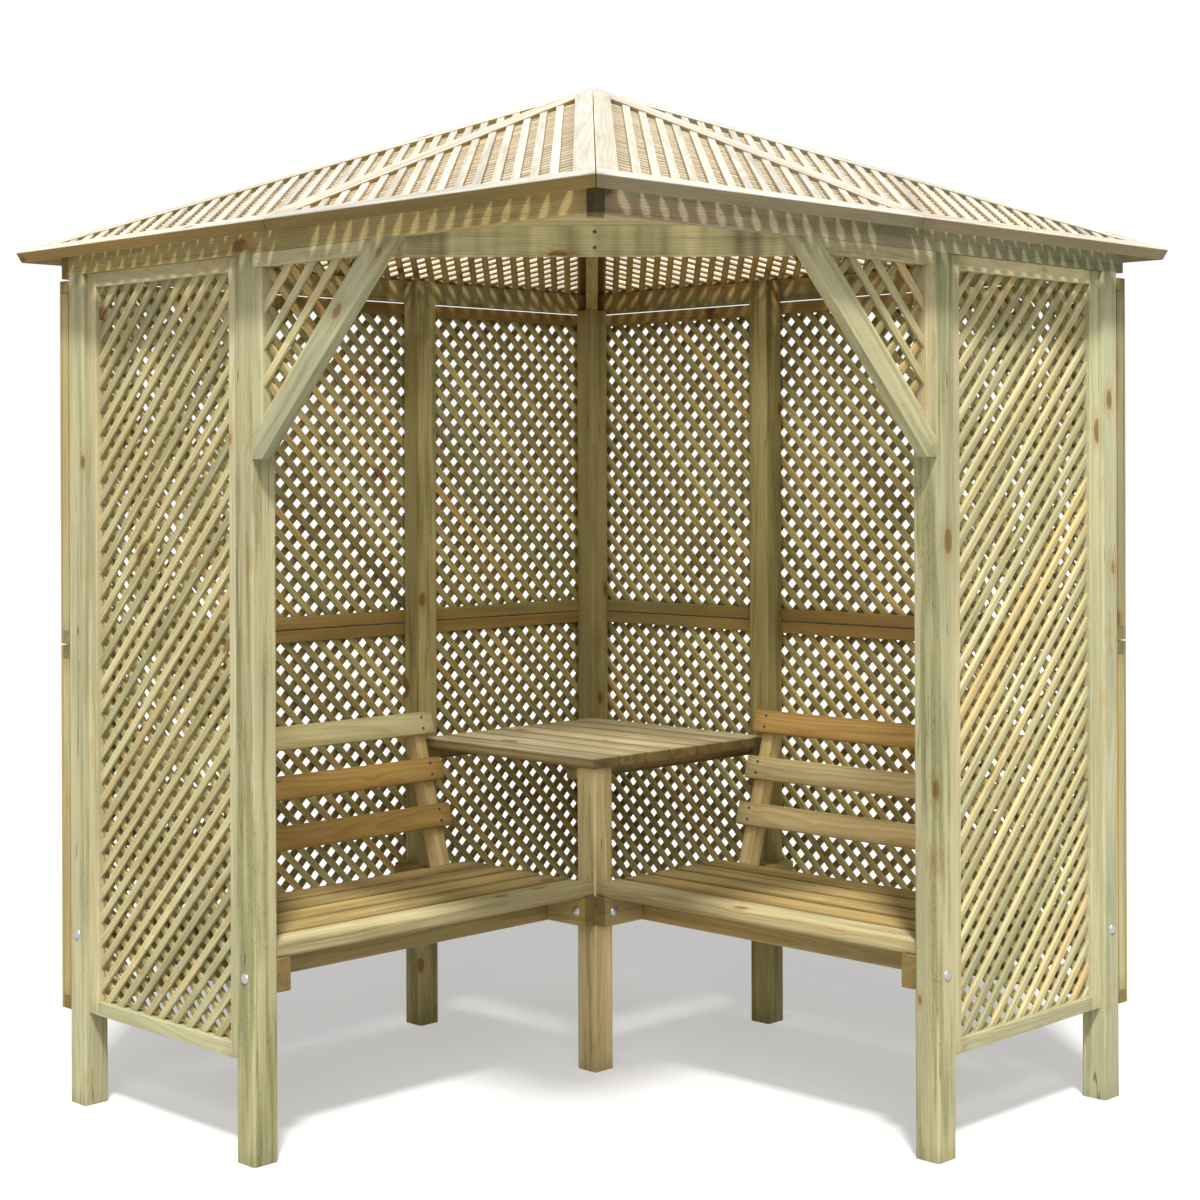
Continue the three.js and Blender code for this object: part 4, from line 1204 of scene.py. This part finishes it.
def roof_panel_members(sizes, seed):
    """The eave, hip and middle rail of half a roof face, which slopes down along x from the peak."""
    slope, down = roof_slope(sizes)
    run = ROOF_HALF / down
    skew = math.hypot(1, run)
    width, thickness = sizes.rail_width, sizes.panel_thickness
    from_hip = sizes.panel_gap / math.sqrt(2)
    near = sizes.panel_gap / 2
    eave = down - width
    meet = (near + width * skew) / run

    def hip(x, cut):
        return x, run * x - from_hip - cut

    def eave_rail(cut):
        return [(eave, near), (down, near), hip(down, cut), hip(eave, cut)]

    def hip_rail(cut):
        return [((near + from_hip + cut) / run, near), (meet, near), (eave, run * eave - width * skew),
                hip(eave, cut)]

    def middle_rail(cut):
        # It meets its neighbours squarely, so the cut for the slope doesn't change it
        return [(meet, near), (eave, near), (eave, width), ((width + width * skew) / run, width)]

    members = Members(seed)
    undercut = thickness * math.sin(slope)
    for rail, along in ((eave_rail, (0, 1)), (hip_rail, (1, run)), (middle_rail, (1, 0))):
        members.add(rail(0.0), -thickness, 0, along, sizes.rail_ease, rail(undercut))
    return members


def roof_opening(sizes, shortfall):
    """The opening between a roof panel's rails, narrower by a shortfall at its hip and middle rails."""
    down = roof_slope(sizes)[1]
    run = ROOF_HALF / down
    skew = math.hypot(1, run)
    eave = down - sizes.rail_width
    inset = sizes.rail_width + shortfall
    return [((inset + inset * skew) / run, inset), (eave, inset), (eave, run * eave - inset * skew)]


def roof_slope(sizes):
    """The roof faces' slope and their length from peak to eave."""
    rise = sizes.apex_height - sizes.eave_height
    return math.atan2(rise, ROOF_HALF), math.hypot(ROOF_HALF, rise)


class BuildRoof(ArbourOperator, bpy.types.Operator):
    """Builds the eight trellis panels of the roof"""

    bl_idname = "arbour.build_roof"
    bl_label = "Roof"

    # Each face's turn in degrees, its two corners and the corner that its upper slats run towards
    faces = {
        "front_right": (0, ("right", "front"), "front"),
        "rear_right": (90, ("rear", "right"), "right"),
        "rear_left": (180, ("left", "rear"), "left"),
        "front_left": (-90, ("front", "left"), "front"),
    }

    def build(self, scene):
        sizes, trellis = scene.arbour_roof, scene.arbour_trellis
        pale, under = scene.arbour_colours.roof, scene.arbour_colours.roof_under
        # Painted shade, tinted tan, below the top faces of the rails and slats, and painted shade along the
        # lower slats' edges
        timbers = (
            ("roof_rail", pale, (0.38, 0.27, 0.09, 1), {"variation": 0.12, "knots": 0.4, "skirt": 1.0}),
            ("grey_roof_rail", pale, (0.39, 0.35, 0.23, 1), {"variation": 0.12, "knots": 0.4, "skirt": 1.0}),
            ("roof_slat", pale, (0.96, 0.82, 0.50, 1), {"variation": 0.22, "knots": 0.15, "skirt": 0.8}),
            ("lower_roof_slat", under, (0.96, 0.79, 0.42, 1),
             {"variation": 0.2, "knots": 0.15, "skirt": 1.0, "grime": 0.5}),
        )
        rails, grey_rails, upper, lower = [
            member_timber(name, base, skirt_tint=tint, ring_strength=0.35, pith_depth=0.07, green=0.2,
                          streaks=0.25, edge_wear=0.5, **own)
            for name, base, tint, own in timbers
        ]
        slope, down = roof_slope(sizes)
        run = ROOF_HALF / down
        top = -sizes.slat_recess - trellis.slat_thickness / 2
        below = top - trellis.slat_layer_gap - trellis.slat_thickness
        seed = SEEDS["roof"]
        for face, (turn, corners, slats_to) in self.faces.items():
            for half, corner in enumerate(corners):
                members = roof_panel_members(sizes, seed)
                shortfall = trellis.slat_end + sizes.slat_shortfall if slats_to == "front" else 0.0
                opening, shorter = roof_opening(sizes, 0.0), roof_opening(sizes, shortfall)
                ways = [(1, run), (1, -run)] if corner == slats_to else [(1, -run), (1, run)]
                layers = ((ways[0], top, upper, shorter), (ways[1], below, lower, opening))
                modifiers = [
                    (slat_layer(), slat_inputs(space, way, trellis.slat_pitch, height, seed + step, slats))
                    for step, (way, height, slats, space) in enumerate(layers)
                ]
                framed = grey_rails if face == "front_right" else rails
                mesh = modified_mesh(members.mesh(face, framed), modifiers)
                handed = Matrix.Diagonal((1, 1 if half == 0 else -1, 1, 1))
                placed = (Matrix.Rotation(math.radians(turn), 4, "Z")
                          @ Matrix.Translation((0, 0, sizes.apex_height))
                          @ Matrix.Rotation(slope, 4, "Y") @ handed)
                settle(f"roof_panel_{face}_to_{corner}", mesh, placed,
                       [f"roof_{face}_to_{corner}"])
                seed += 10


class DressBenches(ArbourOperator, bpy.types.Operator):
    """Gives the seat boards, bearers and rails their finish"""

    bl_idname = "arbour.dress_benches"
    bl_label = "Benches"

    def build(self, scene):
        colours = scene.arbour_colours
        # Painted shade below every board's top and along the boards' edges, strongest on the boards behind
        # the front one; the front board's paler edges are partly a painted highlight on its rounded arris
        seats = {"ring_spacing": 0.006, "ring_strength": 0.45, "pith_depth": 0.06, "variation": 0.22,
                 "green": 0.3, "streaks": 0.6, "knots": 0.4, "cracks": 0.2, "skirt": 0.33}
        bearers = {"ring_spacing": 0.006, "ring_strength": 0.4, "pith_depth": 0.05, "variation": 0.15,
                   "green": 0.5, "streaks": 0.5, "knots": 0.4, "edge_wear": 0.3}
        front = (colours.front_board, {**seats, "edge_wear": 0.7, "grime": 0.3})
        others = (colours.seat, {**seats, "edge_wear": 0.0, "grime": 0.8})
        ways = {"left": ((0, 1, 0), (1, 0, 0)), "right": ((1, 0, 0), (0, 1, 0))}
        for order, (side, (along, out)) in enumerate(ways.items()):
            for place, (base, look) in enumerate((front, *[others] * 4)):
                seed = SEEDS["seats"] + 10 * order + place
                solid_timber(f"{side}_seat_board_{place + 1}", base, along, seed, **look)
            carriers = (("inner_bearer", out), ("outer_bearer", out), ("seat_rail", along))
            for seed, (piece, way) in enumerate(carriers, SEEDS["bearers"] + 10 * order):
                solid_timber(f"{side}_{piece}", colours.seat, way, seed, **bearers)


class BuildBackrests(ArbourOperator, bpy.types.Operator):
    """Builds the leaning backrests: three boards on two supports each"""

    bl_idname = "arbour.build_backrests"
    bl_label = "Backrests"

    def build(self, scene):
        sizes, colours = scene.arbour_furniture, scene.arbour_colours
        timbers = (
            ("golden", colours.backrest, 0.15), ("pale", colours.pale_backrest, 0.4),
            ("cream", colours.cream_backrest, 0.2), ("yellow", colours.yellow_backrest, 0.2),
        )
        # The boards and supports get painted shade along their edges
        golden, pale, cream, yellow = [
            member_timber(f"{name}_backrest_timber", base, green=green, ring_spacing=0.006,
                          ring_strength=0.45, pith_depth=0.06, variation=0.2, streaks=0.3, knots=0.4,
                          edge_wear=0.4, grime=0.3)
            for name, base, green in timbers
        ]
        for order, (side, lower, upper) in enumerate((("left", golden, pale), ("right", cream, yellow))):
            inner, outer, placed = backrest_place(sizes, side)
            depth, width = sizes.back_board_thickness, sizes.back_support_width
            top_board = sizes.back_lowest_board + 2 * sizes.back_board_pitch
            top = top_board + sizes.back_board_height / 2 - sizes.back_support_inset
            members = Members(SEEDS["back supports"] + order)
            for start in (inner, outer - width):
                members.add(rectangle(start, -sizes.back_support_drop, start + width, top),
                            -depth - sizes.back_support_depth, -depth, (0, 1), sizes.board_ease)
            boards = {
                "Pitch": sizes.back_board_pitch, "Middle": (inner + outer) / 2, "Height": -depth / 2,
                "Length": outer - inner + 2 * sizes.back_overhang, "Width": sizes.back_board_height,
                "Thickness": depth, "Ease": sizes.board_ease, "Unevenness": 0.0,
            }
            seed = SEEDS["back boards"] + 7 * order
            rows = (
                {"Count": 2, "First": sizes.back_lowest_board, "Seed": seed, "Material": lower},
                {"Count": 1, "First": top_board, "Seed": seed + 3, "Material": upper},
            )
            modifiers = [(board_row(), {**boards, **row}) for row in rows]
            mesh = modified_mesh(members.mesh(side, cream), modifiers)
            settle(f"{side}_backrest_boards", mesh, placed, [f"{side}_backrest"])


def backrest_place(sizes, side):
    """A backrest's ends along its wall, and its place from lying with x along it and z out of its face."""
    inner = bay_box(f"{side}_inner_bearer", side)[1].x
    outer = bay_box(f"{side}_outer_bearer", side)[0].x
    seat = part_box(f"{side}_seat_board_1")[1].z
    upright = Matrix(((1, 0, 0, 0), (0, 0, 1, 0), (0, 1, 0, 0), (0, 0, 0, 1)))
    foot = Matrix.Translation((0, sizes.back_from_wall, seat))
    leaning = foot @ Matrix.Rotation(sizes.back_lean, 4, "X") @ upright
    return inner, outer, bay_matrix(side) @ leaning


class BuildTable(ArbourOperator, bpy.types.Operator):
    """Builds the corner table: boards side by side on two bearers"""

    bl_idname = "arbour.build_table"
    bl_label = "Table"

    def build(self, scene):
        sizes = scene.arbour_furniture
        # Painted shade along the boards' edges and, tinted tan, on the faces below their tops
        boards = member_timber("table_timber", scene.arbour_colours.table, ring_spacing=0.006,
                               ring_strength=0.4, pith_depth=0.06, variation=0.3, green=0.3, streaks=0.6,
                               knots=0.35, grime=0.8, skirt=0.7)
        low, high = bay_box("table_top", "left")
        near, far, leg = sizes.table_from_wall, high.y, bay_box("table_leg", "left")[0].x
        count = 7
        width = (far - near - (count - 1) * sizes.table_board_gap) / count
        under = high.z - sizes.table_board_thickness
        members = Members(SEEDS["table bearers"])
        for start in (POST_WIDTH + low.x, leg - low.x - sizes.table_bearer_width):
            outline = rectangle(start, low.x, start + sizes.table_bearer_width, leg + POST_WIDTH)
            members.add(outline, low.z, under, (0, 1), sizes.board_ease)
        row = {
            "Count": count, "First": near + width / 2, "Pitch": width + sizes.table_board_gap,
            "Middle": (near + far) / 2, "Height": (under + high.z) / 2, "Length": far - near, "Width": width,
            "Thickness": sizes.table_board_thickness, "Ease": sizes.board_ease, "Unevenness": 0.0,
            "Seed": SEEDS["table boards"], "Material": boards,
        }
        mesh = modified_mesh(members.mesh("table", boards), [(board_row(), row)])
        swap = Matrix(((0, 1, 0, 0), (1, 0, 0, 0), (0, 0, 1, 0), (0, 0, 0, 1)))
        settle("table_boards", mesh, bay_matrix("left") @ swap, ["table_top"])


def fastener_points(places):
    """A mesh of loose points, each with the way that its fastener faces."""
    mesh = bpy.data.meshes.new("fasteners")
    mesh.from_pydata([tuple(place) for place, _ in places], [], [])
    attribute = mesh.attributes.new("facing", "FLOAT_VECTOR", "POINT")
    attribute.data.foreach_set("vector", np.array([tuple(way) for _, way in places], np.float32).ravel())
    return mesh


class BuildFasteners(ArbourOperator, bpy.types.Operator):
    """Builds the coach bolts and the screws"""

    bl_idname = "arbour.build_fasteners"
    bl_label = "Bolts and screws"

    def build(self, scene):
        sizes, colours = scene.arbour_fasteners, scene.arbour_colours
        steel = plain_metal("galvanised_steel", colours.steel)
        recess, tarnished = screw_recess(), plain_metal("tarnished_screw", colours.screw)
        outer_places, inner_places, replaced = [], [], []
        for side in SIDES:
            matrix = bay_matrix(side)
            facing = matrix.to_3x3() @ Vector((1, 0, 0))
            outer = bay_box(f"{side}_front_post", side)[1].x
            for post in ("corner", "front"):
                node = f"{side}_{post}_post_coach_bolt"
                low, high = bay_box(node, side)
                outer_places.append((matrix @ Vector((outer, *((low + high) / 2).yz)), facing))
                replaced.append(node)
            low, high = bay_box(f"{side}_inner_bearer", side)
            bearer = high.x - low.x
            for out in (POST_WIDTH / 2, high.y - POST_WIDTH / 2):
                inner_places.append((matrix @ Vector((high.x, out, (low.z + high.z) / 2)), facing))
        bolt = {
            "Head": sizes.bolt_head, "Dome": sizes.bolt_dome, "Washer": sizes.washer, "Nut": sizes.nut,
            "Thread": sizes.thread, "Grip": POST_WIDTH + bearer, "Seed": SEEDS["bolts"], "Material": steel,
        }
        for name, places, nodes in (
            ("outer_coach_bolts", outer_places, replaced), ("inner_coach_bolts", inner_places, []),
        ):
            mesh = modified_mesh(fastener_points(places), [(coach_bolts(), bolt)])
            mesh.shade_smooth()
            settle(name, mesh, Matrix.Identity(4), nodes)
        screw = {
            "Diameter": sizes.screw_head, "Seed": SEEDS["screws"], "Material": tarnished,
            "Recess Material": recess,
        }
        mesh = modified_mesh(fastener_points(screw_places(scene)), [(screw_heads(), screw)])
        settle("screws", mesh, Matrix.Identity(4), [])


def screw_places(scene):
    """Where screws show: on the backrests' boards and on the board across the way in."""
    sizes = scene.arbour_furniture
    places = []
    for side in SIDES:
        inner, outer, matrix = backrest_place(sizes, side)
        facing = matrix.to_3x3() @ Vector((0, 0, 1))
        for board in range(3):
            middle = sizes.back_lowest_board + board * sizes.back_board_pitch
            for along in (inner + sizes.back_support_width / 2, outer - sizes.back_support_width / 2):
                for up in (-sizes.back_board_height / 4, sizes.back_board_height / 4):
                    places.append((matrix @ Vector((along, middle + up, 0)), facing))
    low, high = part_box("entrance_header")
    facing = Vector((1, -1, 0)).normalized()
    front = max(vertex.co.dot(facing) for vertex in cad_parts["entrance_header"].data.vertices)
    for share_up in (0.27, 0.80):
        place = facing * front
        place.z = low.z + (high.z - low.z) * share_up
        places.append((place, facing))
    return places


class SetStage(ArbourOperator, bpy.types.Operator):
    """Sets the floor, the light and the camera"""

    bl_idname = "arbour.set_stage"
    bl_label = "Stage"

    def build(self, scene):
        stage = scene.arbour_stage
        scene.view_settings.view_transform = "Standard"
        self.add_world(scene, stage)
        self.add_floor(scene)
        self.add_sun(scene, "sun", stage.sun_strength, softness=7, towards=(0.72, -0.66, 1.5))
        self.add_sun(scene, "front_fill", stage.fill_strength, softness=40, towards=(0.66, -0.72, 0.62))
        self.add_glow(scene, stage)
        self.add_camera(scene, stage)

    def add_world(self, scene, stage):
        world = bpy.data.worlds.new("studio")
        world.use_nodes = True
        world.node_tree.nodes.clear()
        nodes = Nodes(world.node_tree)
        white = {"Color": (1, 1, 1, 1), "Strength": 1.0}
        light = {"Color": (1.0, 0.985, 0.96, 1), "Strength": stage.world_strength}
        unseen, seen = [nodes.wire(0, "ShaderNodeBackground", inputs) for inputs in (light, white)]
        mixed = nodes.wire(0, "ShaderNodeMixShader", {0: self.seen_ray(nodes), 1: unseen, 2: seen})
        nodes.add("ShaderNodeOutputWorld", {"Surface": mixed})
        scene.world = world

    def seen_ray(self, nodes):
        """One for rays from the camera, off gloss or through glass."""
        path = nodes.add("ShaderNodeLightPath").outputs
        camera, gloss, glass = [
            Wire(nodes, path[f"Is {kind} Ray"]) for kind in ("Camera", "Glossy", "Transmission")
        ]
        return nodes.math("MAXIMUM", nodes.math("MAXIMUM", camera, gloss), glass)

    def add_floor(self, scene):
        reach = 60.0
        mesh = bpy.data.meshes.new("floor")
        corners = [(x, y, 0) for x, y in rectangle(-reach, -reach, reach, reach)]
        mesh.from_pydata(corners, [], [(0, 1, 2, 3)])
        material, nodes = new_material("pale_floor")
        bounced = ((0.46, 0.455, 0.44, 1), (1.0, 0.97, 0.9, 1), 0.12)
        shown = ((0.52, 0.52, 0.51, 1), (1, 1, 1, 1), 0.42)
        unseen, seen = [
            nodes.wire(0, "ShaderNodeAddShader", {
                0: nodes.wire(0, "ShaderNodeBsdfDiffuse", {"Color": paint}),
                1: nodes.wire(0, "ShaderNodeEmission", {"Color": glow, "Strength": strength}),
            })
            for paint, glow, strength in (bounced, shown)
        ]
        mixed = nodes.wire(0, "ShaderNodeMixShader", {0: self.seen_ray(nodes), 1: unseen, 2: seen})
        nodes.add("ShaderNodeOutputMaterial", {"Surface": mixed})
        mesh.materials.append(material)
        floor = bpy.data.objects.new("floor", mesh)
        scene.collection.objects.link(floor)

    def add_sun(self, scene, name, strength, softness, towards):
        """A far lamp that stands in the given direction; its softness is its width in degrees."""
        lamp = bpy.data.lights.new(name, "SUN")
        lamp.energy = strength
        lamp.angle = math.radians(softness)
        lamp.color = (1.0, 0.985, 0.95)
        sun = bpy.data.objects.new(name, lamp)
        sun.rotation_mode = "QUATERNION"
        sun.rotation_quaternion = Vector(towards).to_track_quat("Z", "Y")
        scene.collection.objects.link(sun)

    def add_glow(self, scene, stage):
        """A square lamp just under the ceiling, which stands for the light that falls through the roof."""
        toward_rear, below_ceiling = 0.12, 0.05
        lamp = bpy.data.lights.new("roof_glow", "AREA")
        lamp.energy = stage.glow_power
        lamp.shape = "SQUARE"
        lamp.size = 1.1
        lamp.color = (1.0, 0.985, 0.94)
        glow = bpy.data.objects.new("roof_glow", lamp)
        glow.location = (-toward_rear, toward_rear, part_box("entrance_header")[0].z - below_ceiling)
        glow.visible_camera = False
        scene.collection.objects.link(glow)

    def add_camera(self, scene, stage):
        lens = bpy.data.cameras.new("camera")
        lens.lens = stage.lens
        lens.sensor_width = 36
        lens.shift_y = stage.shift
        camera = bpy.data.objects.new("camera", lens)
        level = Matrix.Rotation(stage.camera_turn, 4, "Z") @ Matrix.Rotation(math.pi / 2, 4, "X")
        camera.matrix_world = (Matrix.Translation(stage.camera_place) @ level
                               @ Matrix.Rotation(stage.camera_roll, 4, "Z"))
        scene.collection.objects.link(camera)
        scene.camera = camera


OPERATORS = (
    DressPosts, DressBeams, BuildWallTrellis, BuildSideTrellis, BuildBrackets, BuildRoof, DressBenches,
    BuildBackrests, BuildTable, BuildFasteners, SetStage,
)


class ArbourPanel(bpy.types.Panel):
    """Lists the arbour's settings and steps"""

    bl_idname = "VIEW3D_PT_arbour"
    bl_label = "Arbour"
    bl_space_type = "VIEW_3D"
    bl_region_type = "UI"
    bl_category = "Arbour"

    def draw(self, context):
        for operator in OPERATORS:
            self.layout.operator(operator.bl_idname)
        for name, group in GROUPS.items():
            box = self.layout.box()
            box.label(text=group.__doc__.rstrip("."))
            for setting in group.__annotations__:
                box.prop(getattr(context.scene, name), setting)


def register():
    for group in GROUPS.values():
        bpy.utils.register_class(group)
    for name, group in GROUPS.items():
        setattr(bpy.types.Scene, name, bpy.props.PointerProperty(type=group))
    for operator in OPERATORS:
        bpy.utils.register_class(operator)
    bpy.utils.register_class(ArbourPanel)


def unregister():
    bpy.utils.unregister_class(ArbourPanel)
    for operator in reversed(OPERATORS):
        bpy.utils.unregister_class(operator)
    for name in GROUPS:
        delattr(bpy.types.Scene, name)
    for group in reversed(GROUPS.values()):
        bpy.utils.unregister_class(group)


def main():
    register()
    for operator in OPERATORS:
        family, step = operator.bl_idname.split(".")
        getattr(getattr(bpy.ops, family), step)()


if __name__ == "__main__":
    main()
